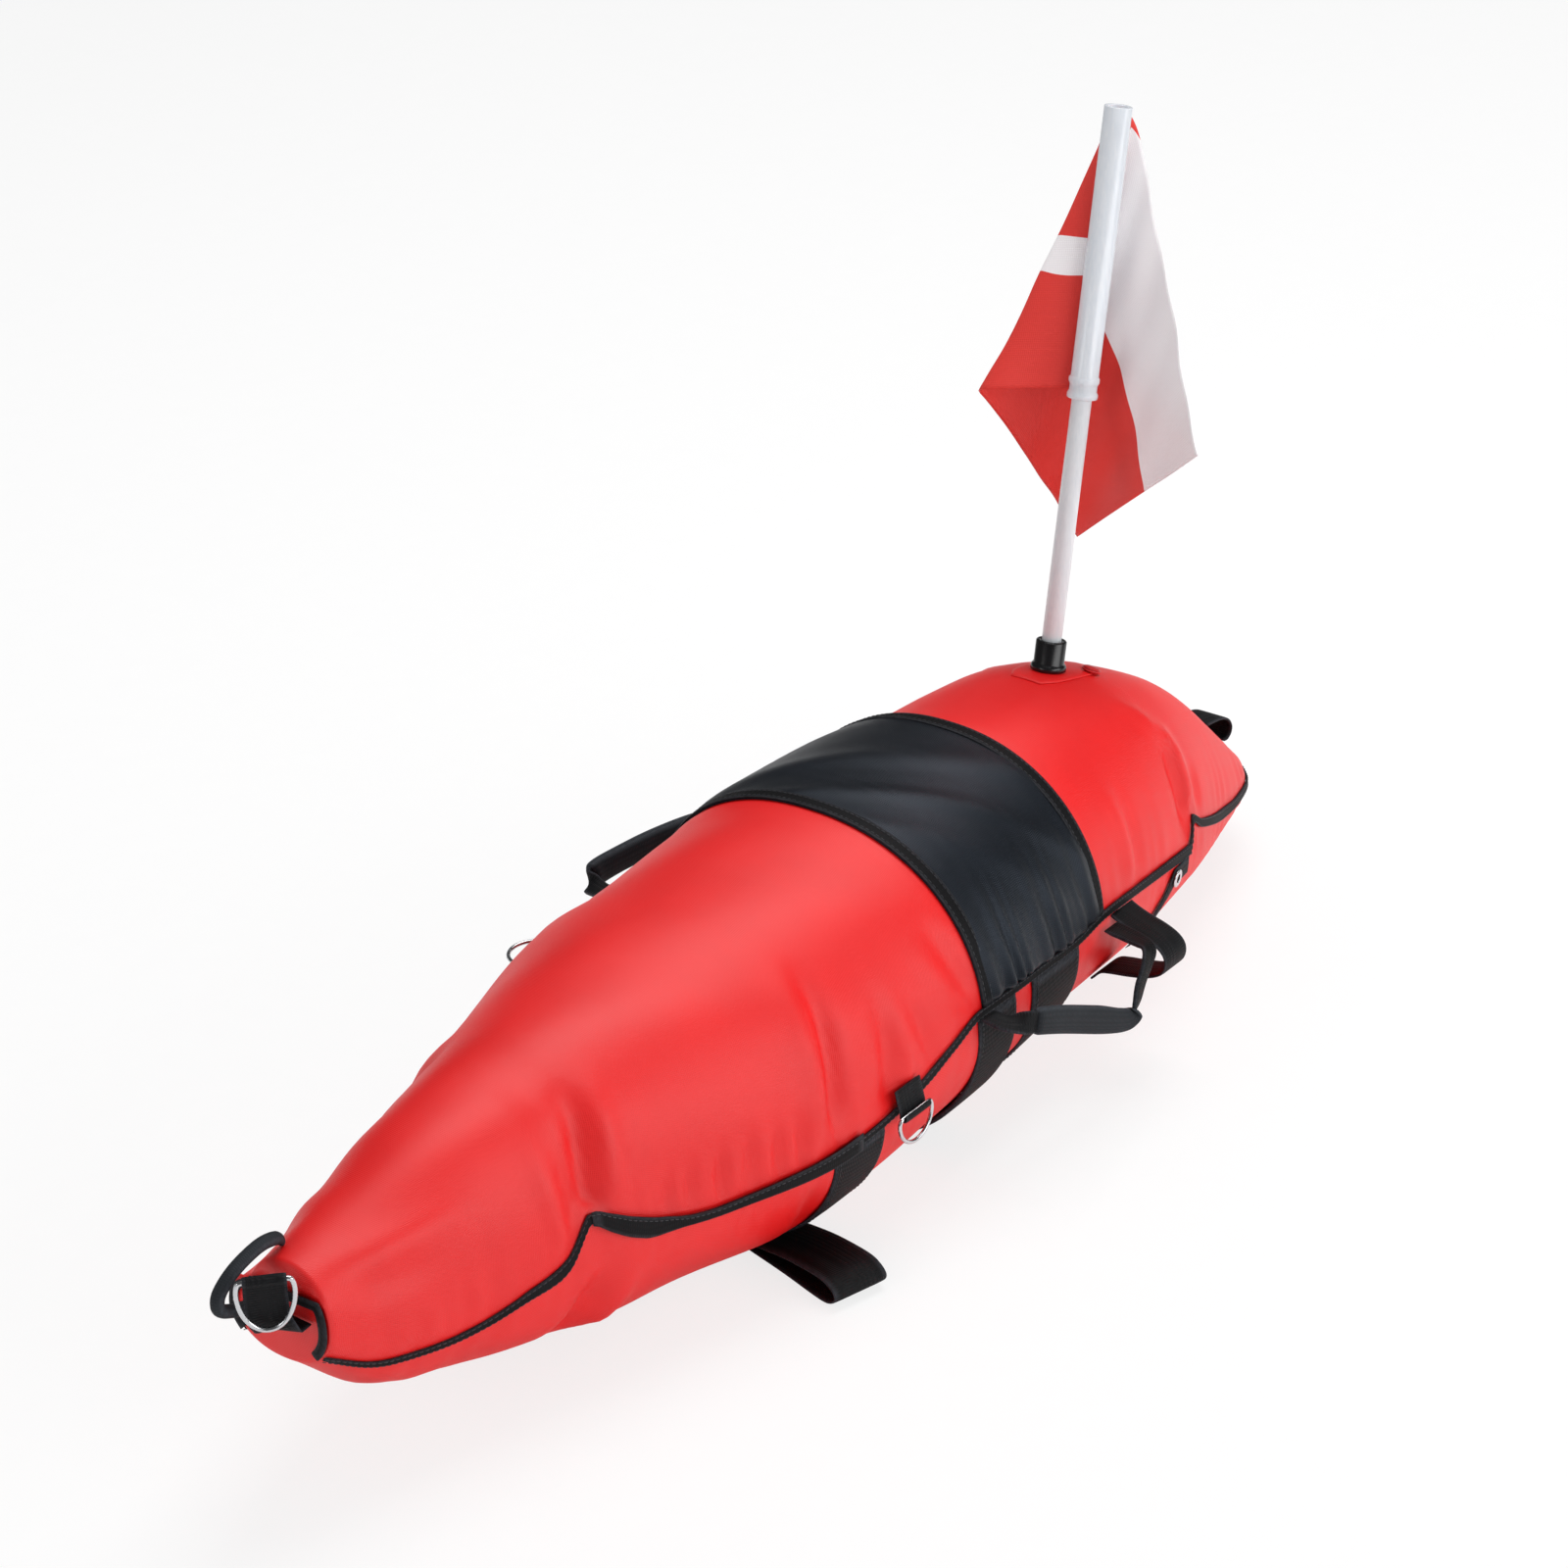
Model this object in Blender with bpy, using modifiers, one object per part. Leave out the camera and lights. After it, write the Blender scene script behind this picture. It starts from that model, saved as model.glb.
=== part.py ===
# Dive flag float: a covered air bladder towed on the water, with a mast and a flag.
# Metres, +Z up. The bow points to -X, the near side of the photo is -Y, the belly rests on z = 0.
import math

import bpy
from mathutils import Matrix, Vector

for old in list(bpy.data.objects):
    bpy.data.objects.remove(old, do_unlink=True)

# Shared clearances
GAP = 0.0003
COVER_THICK = 0.0012
BINDING_LIFT = 0.0006
BINDING_THICK = 0.0015
BINDING_HALF = 0.003
WEB_THICK = 0.0017
KEEL_HEIGHT = 0.002

# Hull stations from bow to stern: half width, height of the widest line, top and bottom
HULL_X = [-0.395, -0.36, -0.28, -0.18, -0.06, 0.06, 0.18, 0.27, 0.30, 0.34, 0.39, 0.43, 0.46, 0.475, 0.484]
HULL_HALF = [0.034, 0.043, 0.061, 0.086, 0.112, 0.115, 0.107, 0.093, 0.087, 0.076, 0.058, 0.0435, 0.030, 0.018, 0.008]
HULL_MID = [0.115, 0.098, 0.083, 0.085, 0.082, 0.090, 0.090, 0.083, 0.080, 0.072, 0.060, 0.050, 0.044, 0.042, 0.042]
HULL_TOP = [0.146, 0.152, 0.173, 0.187, 0.192, 0.197, 0.195, 0.189, 0.183, 0.167, 0.136, 0.100, 0.071, 0.058, 0.048]
HULL_LOW = [0.086, 0.058, 0.028, 0.009, -0.001, -0.001, 0.003, 0.007, 0.009, 0.011, 0.014, 0.019, 0.028, 0.034, 0.037]
SECTION_POWER = 2.2

# Side seam: height angle round the section, degrees above the widest line
SEAM_X = [-0.395, -0.379, -0.361, -0.331, -0.304, -0.28, -0.262, -0.25, -0.243, -0.235, -0.223, -0.211, -0.193,
          -0.15, -0.1, -0.04, 0.0, 0.03, 0.056, 0.116, 0.161, 0.197, 0.235, 0.28, 0.33, 0.35, 0.362, 0.375, 0.4,
          0.43, 0.46, 0.484]
SEAM_DEG = [-40, -34, -26, -17, -8, -2, 0, 3, 8, 13, 9, 5, 1, -3, -3, -2, 0, 3, 6, 5, 2, 1, 3, 2, 0, 1, 9, 5, -4,
            -2, 1, 2]

ROWS = [-0.395, -0.379, -0.361, -0.331, -0.304, -0.28, -0.262, -0.25, -0.243, -0.235, -0.223, -0.211, -0.193,
        -0.165, -0.136, -0.105, -0.076, -0.055, -0.034, -0.005, 0.02, 0.042, 0.058, 0.068, 0.085, 0.105, 0.13,
        0.155, 0.18, 0.19, 0.213, 0.235, 0.26, 0.28, 0.295, 0.310, 0.322, 0.34, 0.35, 0.362, 0.375, 0.39, 0.41, 0.43, 0.446, 0.46,
        0.468, 0.475, 0.480, 0.484]
COLUMNS = 12
VALVE_ROW = 0.310
BOW_BULGE = 0.0006
TAIL_BULGE = 0.0015


def ease(at, places, values):
    """Smooth curve through a table, without overshoot."""
    last = len(places) - 1
    if at <= places[0]:
        return values[0]
    if at >= places[last]:
        return values[last]
    k = max(i for i in range(last) if places[i] <= at)

    def slope(i):
        if i == 0 or i == last:
            return 0.0 if i else (values[1] - values[0]) / (places[1] - places[0])
        before = (values[i] - values[i - 1]) / (places[i] - places[i - 1])
        after = (values[i + 1] - values[i]) / (places[i + 1] - places[i])
        return 0.0 if before * after <= 0 else 2 * before * after / (before + after)

    span = places[k + 1] - places[k]
    t = (at - places[k]) / span
    return (values[k] * (1 + 2 * t) * (1 - t) ** 2 + values[k + 1] * t * t * (3 - 2 * t)
            + span * (slope(k) * t * (1 - t) ** 2 - slope(k + 1) * t * t * (1 - t)))


def seam(x):
    return ease(x, SEAM_X, SEAM_DEG)


def section(x, angle):
    """Across and up for a station and an angle: 0 near side, 90 top, 180 far side, -90 bottom."""
    c, s = math.cos(math.radians(angle)), math.sin(math.radians(angle))
    power = 2 / SECTION_POWER
    across = -ease(x, HULL_X, HULL_HALF) * math.copysign(abs(c) ** power, c)
    mid = ease(x, HULL_X, HULL_MID)
    reach = (ease(x, HULL_X, HULL_TOP) if s >= 0 else 2 * mid - ease(x, HULL_X, HULL_LOW)) - mid
    up = mid + reach * math.copysign(abs(s) ** power, s)
    return Vector((across, max(up, KEEL_HEIGHT)))


STEP_DEG = 0.5


def outward(x, angle):
    """Unit normal of the section, in the plane across the hull."""
    along = section(x, angle + STEP_DEG) - section(x, angle - STEP_DEG)
    return Vector((-along.y, along.x)).normalized()


def skin(x, angle, lift=0.0):
    spot = section(x, angle) + outward(x, angle) * lift
    return Vector((x, spot.x, spot.y))


def wide_deg(x, length):
    """Angle that a length takes up round the hull near the seam."""
    return math.degrees(length / ease(x, HULL_X, HULL_HALF))


# Materials, colours as seen in the photo
def material(name, colour, roughness, metallic=0.0, alpha=1.0):
    made = bpy.data.materials.new(name)
    made.use_nodes = True
    shader = made.node_tree.nodes["Principled BSDF"]
    red, green, blue = [int(colour[i:i + 2], 16) / 255 for i in (0, 2, 4)]
    linear = [v / 12.92 if v <= 0.04045 else ((v + 0.055) / 1.055) ** 2.4 for v in (red, green, blue)]
    shader.inputs["Base Color"].default_value = (*linear, 1)
    shader.inputs["Roughness"].default_value = roughness
    shader.inputs["Metallic"].default_value = metallic
    shader.inputs["Alpha"].default_value = alpha
    made.diffuse_color = (*linear, 1)
    return made


RED_NYLON = material("red_nylon", "E8282C", 0.45)
BLACK_NYLON = material("black_nylon", "1C1F25", 0.5)
BLACK_TAPE = material("black_tape", "141416", 0.7)
WEBBING = material("webbing", "17171A", 0.8)
STEEL = material("steel", "B8BABD", 0.25, 1.0)
RUBBER = material("rubber", "1A1A1B", 0.6)
WHITE_PLASTIC = material("white_plastic", "E3E6EA", 0.3)
CLEAR_PLASTIC = material("clear_plastic", "D2DAE2", 0.2)
FLAG_CLOTH = material("flag_cloth", "CC3A36", 0.7)
BLADDER_FILM = material("bladder_film", "C9CCD0", 0.4)
VALVE_PLASTIC = material("valve_plastic", "C22326", 0.5)

FLOAT = bpy.data.collections.new("dive_flag_float")
CUTTERS = bpy.data.collections.new("cutters")
bpy.context.scene.collection.children.link(FLOAT)
bpy.context.scene.collection.children.link(CUTTERS)


def place(name, data, slot, smooth=True, collection=None):
    made = bpy.data.objects.new(name, data)
    (collection or FLOAT).objects.link(made)
    if slot:
        data.materials.append(slot)
    if smooth and hasattr(data, "polygons"):
        data.polygons.foreach_set("use_smooth", [True] * len(data.polygons))
    return made


def mesh_piece(name, points, faces, slot, smooth=True):
    data = bpy.data.meshes.new(name)
    data.from_pydata(points, [], faces)
    data.update()
    return place(name, data, slot, smooth)


def grid_faces(rows, cols, flip=False, start=0, ring=False):
    made = []
    for i in range(rows - 1):
        for j in range(cols if ring else cols - 1):
            a, b = start + i * cols + j, start + i * cols + (j + 1) % cols
            made.append((a, b, b + cols, a + cols)[::-1 if flip else 1])
    return made


def shell(name, outer, inner, slot, holes=()):
    """Closed body between two matching grids of points; holes lists the cells left open."""
    rows, cols = len(outer), len(outer[0])
    total = rows * cols
    points = [p for row in outer for p in row] + [p for row in inner for p in row]
    cells = [(i, j) for i in range(rows - 1) for j in range(cols - 1) if (i, j) not in holes]
    skins = [(i * cols + j + cols, i * cols + j + cols + 1, i * cols + j + 1, i * cols + j) for i, j in cells]
    edges = {(f[k], f[(k + 1) % 4]) for f in skins for k in range(4)}
    skins = [corner for d, c, b, a in skins for corner in ((d, c, b), (d, b, a))]
    faces = skins + [tuple(v + total for v in f[::-1]) for f in skins]
    faces += [(b, a, a + total, b + total) for a, b in sorted(edges) if (b, a) not in edges]
    return mesh_piece(name, points, faces, slot)


def panel(name, stations, angles_at, lift, thick, slot):
    """Cloth or webbing laid on the hull; angles_at gives the angles at one station."""
    outer = [[skin(x, a, lift + thick) for a in angles_at(x)] for x in stations]
    inner = [[skin(x, a, lift) for a in angles_at(x)] for x in stations]
    return shell(name, outer, inner, slot)


def ribbon(name, points, sides, wide, thick, slot, end_share=1.0, shares=None):
    """Flat webbing along a path, with the direction of its width at each point, and its share of the full width."""
    outline = []
    last = len(points) - 1
    for i, (spot, side) in enumerate(zip(points, sides)):
        along = (points[min(i + 1, last)] - points[max(i - 1, 0)]).normalized()
        across = (side - along * side.dot(along)).normalized()
        face = across.cross(along) * (end_share if i in (0, last) else 1.0)
        half = wide / 2 * (shares[i] if shares else 1)
        outline.append([spot + across * (half * a) + face * (thick / 2 * b)
                        for a, b in ((-1, -1), (1, -1), (1, 1), (-1, 1))])
    verts = [p for ring in outline for p in ring]
    faces = grid_faces(len(outline), 4, True, ring=True)
    faces += [(0, 1, 2, 3), tuple(last * 4 + k for k in (3, 2, 1, 0))]
    return mesh_piece(name, verts, faces, slot, smooth=False)


def smooth_path(points, steps):
    """Points along a smooth curve through the given ones, ends kept."""
    made = []
    for i in range(len(points) - 1):
        p0, p1 = points[max(i - 1, 0)], points[i]
        p2, p3 = points[i + 1], points[min(i + 2, len(points) - 1)]
        for k in range(steps):
            t = k / steps
            made.append(0.5 * (2 * p1 + (p2 - p0) * t + (2 * p0 - 5 * p1 + 4 * p2 - p3) * t * t
                               + (3 * p1 - p0 - 3 * p2 + p3) * t ** 3))
    return made + [points[-1]]


def wire(name, points, radius, slot, loop=False, resolution=3):
    data = bpy.data.curves.new(name, "CURVE")
    data.dimensions = "3D"
    data.bevel_depth = radius
    data.bevel_resolution = resolution
    data.use_fill_caps = True
    line = data.splines.new("POLY")
    line.points.add(len(points) - 1)
    for spot, p in zip(line.points, points):
        spot.co = (*p, 1)
    line.use_cyclic_u = loop
    return place(name, data, slot)


def turned(name, profile, steps, slot, matrix):
    """Solid of revolution about local Z from (radius, height) pairs, a ring where none is at radius 0."""
    data = bpy.data.meshes.new(name)
    count = len(profile)
    hollow = profile[0][0] > 0
    data.from_pydata([(r, 0, h) for r, h in profile], [(i, (i + 1) % count) for i in range(count - 1 + hollow)], [])
    made = place(name, data, slot)
    spin = made.modifiers.new("spin", "SCREW")
    spin.steps = spin.render_steps = steps
    spin.use_merge_vertices = True
    spin.merge_threshold = 0.00001
    spin.use_smooth_shade = True
    made.matrix_world = matrix
    return made


def cut(target, cutter):
    cutter.hide_render = True
    cutter.display_type = "WIRE"
    mod = target.modifiers.new("cut", "BOOLEAN")
    mod.operation = "DIFFERENCE"
    mod.solver = "EXACT"
    mod.object = cutter


# Covers: two halves of coated nylon, sewn together at the side seam
def upper_angles(x):
    low = seam(x) + wide_deg(x, GAP / 2)
    return [low + (180 - 2 * low) * k / COLUMNS for k in range(COLUMNS + 1)]


def lower_angles(x):
    high = seam(x) - wide_deg(x, GAP / 2)
    return [high - (180 + 2 * high) * k / COLUMNS for k in range(COLUMNS + 1)]


TAIL_LINE = section(ROWS[-1], seam(ROWS[-1])).y
TAIL_SHARES = [0.5, 0.0]
BOW_TURN, BOW_INSET = 0.0015, 0.0022
FACET_ROWS = 3


def bow_rows(outline, x, inset, upper):
    """Rows that close the bow: the lower half makes the flat facet, the upper half only turns its edge."""
    turn = upper_angles(ROWS[0])
    front = ROWS[0] - BOW_TURN + inset
    line = skin(ROWS[0], turn[FACET_ROWS], -BOW_INSET).z
    if upper:
        rim = [skin(ROWS[0], a, -BOW_INSET) for a in turn]
        return [[Vector((front, p.y, min(p.z, line))) for p in rim]]
    made = []
    for j in range(FACET_ROWS, -1, -1):
        side = skin(ROWS[0], turn[j], -BOW_INSET - GAP)
        row = []
        for k, low in enumerate(outline):
            share = k / COLUMNS
            bulge = BOW_BULGE * math.sin(math.pi * share) * math.sin(math.pi * j / (FACET_ROWS + 1))
            height = side.z - (GAP if j == FACET_ROWS else 0) + (low.z - outline[0].z) * (1 - j / FACET_ROWS)
            row.append(Vector((front - bulge, low.y * side.y / outline[0].y, height)))
        made.append(row)
    return made


def cover_half(name, angles_at, edge_shift):
    upper = edge_shift > 0

    def layer(inset):
        stations = [ROWS[0] + inset] + ROWS[1:-1] + [ROWS[-1] - inset]
        rows = [[skin(x, a, -inset) for a in angles_at(x)] for x in stations]
        tail = []
        for share in TAIL_SHARES:
            tail.append([Vector((stations[-1] + TAIL_BULGE * (1 - share), p.y,
                                 TAIL_LINE + edge_shift + (p.z - TAIL_LINE - edge_shift) * share)) for p in rows[-1]])
        grid = bow_rows(rows[0], stations[0], inset, upper) + rows + tail
        return grid if upper else [row[::-1] for row in grid]

    hole = (ROWS.index(VALVE_ROW) + 1, COLUMNS // 2 - 1)
    return shell(name, layer(0.0), layer(COVER_THICK), RED_NYLON, (hole,) if upper else ())


cover_half("cover_upper", upper_angles, GAP / 2)
cover_half("cover_lower", lower_angles, -GAP / 2)


# Seam binding: black tape over the side seam, one run on each side
def binding(name, far):
    def angles(x):
        half = wide_deg(x, BINDING_HALF)
        ends = [seam(x) - half, seam(x), seam(x) + half]
        return [180 - a for a in ends[::-1]] if far else ends
    return panel(name, ROWS, angles, BINDING_LIFT, BINDING_THICK, BLACK_TAPE)


binding("seam_binding_near", False)
binding("seam_binding_far", True)

# Closing tape: the wider tape over the closing that the bladder goes in through
CLOSING_FRONT, CLOSING_REAR = -0.235, -0.055
CLOSING_ROWS = [x for x in ROWS if CLOSING_FRONT <= x <= CLOSING_REAR]
CLOSING_HALF = 0.0048
CLOSING_THICK = 0.0012
CLOSING_LIFT = BINDING_LIFT + BINDING_THICK + GAP


def closing_angles(x):
    half = wide_deg(x, CLOSING_HALF)
    return [seam(x) - half, seam(x), seam(x) + half]


panel("closing_tape", CLOSING_ROWS, closing_angles, CLOSING_LIFT, CLOSING_THICK, BLACK_TAPE)

# Centre band and its two stitched hems
BAND_FRONT, BAND_REAR = 0.058, 0.19
BAND_MARGIN = BINDING_HALF + GAP
BAND_THICK = 0.0010
HEM_THICK = 0.0009
HEM_WIDE = 0.010


def band_angles(x):
    low = seam(x) + wide_deg(x, BAND_MARGIN)
    plain = upper_angles(x)
    return [low] + plain[1:-1] + [180 - low]


BAND_ROWS = [x for x in ROWS if BAND_FRONT <= x <= BAND_REAR]
panel("centre_band", BAND_ROWS, band_angles, GAP, BAND_THICK, BLACK_NYLON)
panel("band_hem_front", [BAND_FRONT, BAND_FRONT + HEM_WIDE], band_angles, BAND_THICK + 2 * GAP, HEM_THICK, BLACK_TAPE)
panel("band_hem_rear", [BAND_REAR - HEM_WIDE, BAND_REAR], band_angles, BAND_THICK + 2 * GAP, HEM_THICK, BLACK_TAPE)


# Belly straps: webbing under the body from seam to seam
def strap_angles(x):
    high = seam(x) - wide_deg(x, BAND_MARGIN)
    plain = lower_angles(x)
    return ([high] + plain[1:-1] + [-180 - high])[::-1]


FRONT_STRAP_X = [-0.076, -0.055, -0.034]
REAR_STRAP_X = [0.042, 0.058, 0.068, 0.085]
panel("belly_strap_front", FRONT_STRAP_X, strap_angles, GAP, WEB_THICK, WEBBING)
panel("belly_strap_rear", REAR_STRAP_X, strap_angles, GAP, WEB_THICK, WEBBING)

# Side pads: rounded ends of the band below the seam, where the handles pull
PAD_ROWS = [0.113, 0.1325, 0.152]
PAD_COLUMNS = 3


def pad_angles(x):
    return strap_angles(x)[::-1][:PAD_COLUMNS + 1][::-1]


def far_pad_angles(x):
    return strap_angles(x)[:PAD_COLUMNS + 1]


panel("side_pad_near", PAD_ROWS, pad_angles, GAP, WEB_THICK, BLACK_NYLON)
panel("side_pad_far", PAD_ROWS, far_pad_angles, GAP, WEB_THICK, BLACK_NYLON)

# Side handles: webbing from the band's front edge to its rear edge, turning about the line of its two ends
HANDLE_WIDE, HANDLE_THICK, HANDLE_END_SHARE = 0.013, 0.003, 0.25
GRIP_WIDE, GRIP_THICK = 0.0165, 0.0085
GRIP_GAP = 0.0003
NEAR_HANDLE = [(0.058, -0.1181, 0.1025), (0.0585, -0.130, 0.1008), (0.066, -0.139, 0.1005), (0.078, -0.1405, 0.0965),
               (0.100, -0.1405, 0.0865), (0.130, -0.1405, 0.0715), (0.155, -0.1408, 0.0590), (0.1650, -0.1412, 0.0570),
               (0.1705, -0.1415, 0.0635), (0.1745, -0.1418, 0.0740), (0.181, -0.1418, 0.0835), (0.189, -0.1370, 0.0890),
               (0.1928, -0.1240, 0.0900), (0.193, -0.1089, 0.092)]
NEAR_WIDTH_SHARES = [1, 1, 1, 1, 1, 1, 0.85, 0.6, 0.5, 0.5, 0.55, 0.7, 0.9, 1]
NEAR_SIDES = [(1, 0.06, 0), (1, 0.06, 0.1), (0.75, 0, 0.6), (0.45, 0, 0.9), (0.45, 0, 0.9), (0.45, 0, 0.9),
              (0.45, 0.1, 0.9), (0.5, 0.3, 0.7), (0.65, 0.6, 0.2), (0.78, 0.6, -0.2), (0.8, 0.45, -0.3), (0.95, 0.2, -0.1),
              (1, 0.06, 0), (1, 0.06, 0)]
FAR_HANDLE = [(0.058, 0.1181, 0.1025), (0.0545, 0.137, 0.1020), (0.0535, 0.154, 0.1020), (0.0582, 0.1665, 0.1025),
              (0.070, 0.1715, 0.103), (0.090, 0.1720, 0.1020), (0.115, 0.1703, 0.1008), (0.140, 0.1675, 0.0988),
              (0.160, 0.1640, 0.0962), (0.174, 0.1575, 0.0943), (0.184, 0.1475, 0.093), (0.190, 0.1365, 0.0925),
              (0.1925, 0.124, 0.0922), (0.193, 0.1089, 0.092)]
FAR_SIDES = [(1, -0.06, 0), (1, 0, 0), (1, 0, 0.15), (0.6, 0.5, 0.45), (0.2, 0.2, 0.9), (0.05, 0, 1), (0.05, 0, 1),
             (0.05, 0, 1), (-0.05, 0.1, 1), (-0.4, 0.4, 0.8), (-0.8, 0.3, 0.4), (-1, 0.1, 0.1), (-1, 0, 0), (-1, 0.06, 0)]
FAR_WIDTH_SHARES = [1] * len(FAR_HANDLE)
HANDLE_STEPS = 3
NEAR_GRIP, FAR_GRIP = (3, 6), (4, 8)


def handle(side, points, sides, width_shares, span):
    path = smooth_path([Vector(p) for p in points], HANDLE_STEPS)
    turn = smooth_path([Vector(s) for s in sides], HANDLE_STEPS)
    last_share = len(width_shares) - 1
    shares = [ease(i / HANDLE_STEPS, range(last_share + 1), width_shares) for i in range(len(path))]
    strap = ribbon("side_handle_" + side, path, turn, HANDLE_WIDE, HANDLE_THICK, WEBBING, HANDLE_END_SHARE, shares)
    first, last = span[0] * HANDLE_STEPS, span[1] * HANDLE_STEPS
    rings = []
    for i in range(first, last + 1):
        along = (path[i + 1] - path[i - 1]).normalized()
        across = (turn[i] - along * turn[i].dot(along)).normalized()
        face = across.cross(along)

        def ring(wide, thick):
            corner = thick / 2
            spots = [(-wide / 2, -corner / 2), (-wide / 2 + corner / 2, -corner), (wide / 2 - corner / 2, -corner),
                     (wide / 2, -corner / 2), (wide / 2, corner / 2), (wide / 2 - corner / 2, corner),
                     (-wide / 2 + corner / 2, corner), (-wide / 2, corner / 2)]
            return [path[i] + across * a + face * b for a, b in spots]
        hole = ring(HANDLE_WIDE + 2 * GRIP_GAP, HANDLE_THICK + 2 * GRIP_GAP)
        square = []
        for a, b in ((-1, -1), (-1, -1), (1, -1), (1, -1), (1, 1), (1, 1), (-1, 1), (-1, 1)):
            square.append(path[i] + across * (a * (HANDLE_WIDE / 2 + GRIP_GAP)) + face * (b * (HANDLE_THICK / 2 + GRIP_GAP)))
        rings.append((ring(GRIP_WIDE, GRIP_THICK), hole, square))
    count = len(rings)
    outer = [p for r in rings for p in r[0]]
    corners = [p for r in rings for p in (r[2][0], r[2][2], r[2][4], r[2][6])]
    base = len(outer)
    faces = grid_faces(count, 8, True, ring=True) + grid_faces(count, 4, False, base, ring=True)
    for row, flip in ((0, False), (count - 1, True)):
        o, c = row * 8, base + row * 4
        cap = [(o, c, c + 3, o + 7), (o + 1, c, o), (o + 2, c + 1, c, o + 1), (o + 3, c + 1, o + 2),
               (o + 4, c + 2, c + 1, o + 3), (o + 5, c + 2, o + 4), (o + 6, c + 3, c + 2, o + 5), (o + 7, c + 3, o + 6)]
        faces += [f[::-1] if flip else f for f in cap]
    mesh_piece("handle_grip_" + side, outer + corners, faces, RUBBER)
    return strap


handle("near", NEAR_HANDLE, NEAR_SIDES, NEAR_WIDTH_SHARES, NEAR_GRIP)
handle("far", FAR_HANDLE, FAR_SIDES, FAR_WIDTH_SHARES, FAR_GRIP)


# Rings: bent steel wire, flat on the side that the tab holds
def ring_points(centre, flat, down, half, depth):
    """D outline: flat side through centre, round side towards down."""
    made = []
    corner_share = 0.22
    straight = [(-1 + corner_share, 0), (1 - corner_share, 0)]
    steps = 14
    round_side = []
    for k in range(steps + 1):
        a = math.pi * k / steps
        round_side.append((math.cos(a), corner_share + (1 - corner_share) * math.sin(a)))
    for a, b in straight + [(0.94, 0.06)] + round_side + [(-0.94, 0.06)]:
        made.append(centre + flat * (a * half) + down * (b * depth))
    return made


SIDE_WIRE = 0.0012
SIDE_RING_HALF, SIDE_RING_DEEP = 0.0135, 0.0165
SIDE_RING_X = -0.016
TAB_WIDE, TAB_THICK = 0.0195, 0.0014
CURL = SIDE_WIRE + GAP + TAB_THICK / 2
CURL_START_DEG, CURL_END_DEG = -25, 235
NEAR_RING_AT, NEAR_TAB_AT = (-0.1212, 0.0800), (-0.1160, 0.0950)
FAR_RING_AT, FAR_TAB_AT = (0.1430, 0.0950), (0.1164, 0.0850)
TAB_STEPS = 3


def curl_points(centre, back, down, radius, start_deg, end_deg, count):
    """Arc round a wire; angle 0 is towards back, 90 towards down."""
    made = []
    for k in range(count + 1):
        a = math.radians(start_deg + (end_deg - start_deg) * k / count)
        made.append(centre + back * (radius * math.cos(a)) + down * (radius * math.sin(a)))
    return made


def side_ring(side, ring_at, tab_at, back, hang):
    centre, root = Vector((SIDE_RING_X, *ring_at)), Vector((SIDE_RING_X, *tab_at))
    curl = curl_points(centre, back, hang, CURL, CURL_START_DEG, CURL_END_DEG, 12)
    path = [root.lerp(curl[0], k / TAB_STEPS) for k in range(TAB_STEPS)] + curl
    ribbon("ring_tab_" + side, path, [Vector((1, 0, 0))] * len(path), TAB_WIDE, TAB_THICK, WEBBING)
    outline = ring_points(centre, Vector((1, 0, 0)), hang, SIDE_RING_HALF, SIDE_RING_DEEP)
    wire("side_ring_" + side, outline, SIDE_WIRE, STEEL, True, 2)


side_ring("near", NEAR_RING_AT, NEAR_TAB_AT, Vector((0, 1, 0)), Vector((0, 0, -1)))
side_ring("far", FAR_RING_AT, FAR_TAB_AT, Vector((0, 0, -1)), Vector((0, 1, 0)))

# Bow: binding round the front edge, padded handle, ring and its tab
BOW_TAPE_WIDE, BOW_TAPE_THICK, BOW_TAPE_LIFT, BOW_TAPE_EDGE = 0.0055, 0.0015, 0.0012, 0.0004
BOW_ARCH_DEG = 4.0


def bow_arch(depth, lift):
    low = seam(ROWS[0]) + BOW_ARCH_DEG
    angles = [low] + [a for a in upper_angles(ROWS[0]) if low < a < 180 - low] + [180 - low]
    line = skin(ROWS[0], upper_angles(ROWS[0])[FACET_ROWS], -BOW_INSET).z + BOW_TAPE_EDGE + BOW_TAPE_WIDE / 2 - depth
    spots = [skin(ROWS[0], a, -depth) for a in angles]
    return [Vector((ROWS[0] - BOW_TURN - lift, p.y, min(p.z, line))) for p in spots]


near_face, far_face = BOW_TAPE_LIFT, BOW_TAPE_LIFT + BOW_TAPE_THICK
inside, outside = BOW_TAPE_EDGE + BOW_TAPE_WIDE, BOW_TAPE_EDGE
shell("bow_binding", [bow_arch(inside, far_face), bow_arch(outside, far_face)],
      [bow_arch(inside, near_face), bow_arch(outside, near_face)], BLACK_TAPE)

BOW_ROPE = 0.0036
BOW_HANDLE = [(-0.3800, 0.006, 0.1512), (-0.389, 0.006, 0.1535), (-0.399, 0.006, 0.1542), (-0.412, 0.006, 0.1530),
              (-0.4235, 0.006, 0.1492), (-0.4325, 0.006, 0.1425), (-0.4325, 0.006, 0.1345), (-0.425, 0.006, 0.1295),
              (-0.414, 0.006, 0.1260), (-0.4045, 0.006, 0.1230), (-0.3978, 0.006, 0.1215)]
ROPE_END_SHARE = 0.45
bow_handle = wire("bow_handle", smooth_path([Vector(p) for p in BOW_HANDLE], 3), BOW_ROPE, WEBBING, resolution=2)
rope_points = bow_handle.data.splines[0].points
for k in range(3):
    rope_points[k].radius = rope_points[-1 - k].radius = ROPE_END_SHARE + (1 - ROPE_END_SHARE) * k / 3

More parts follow.
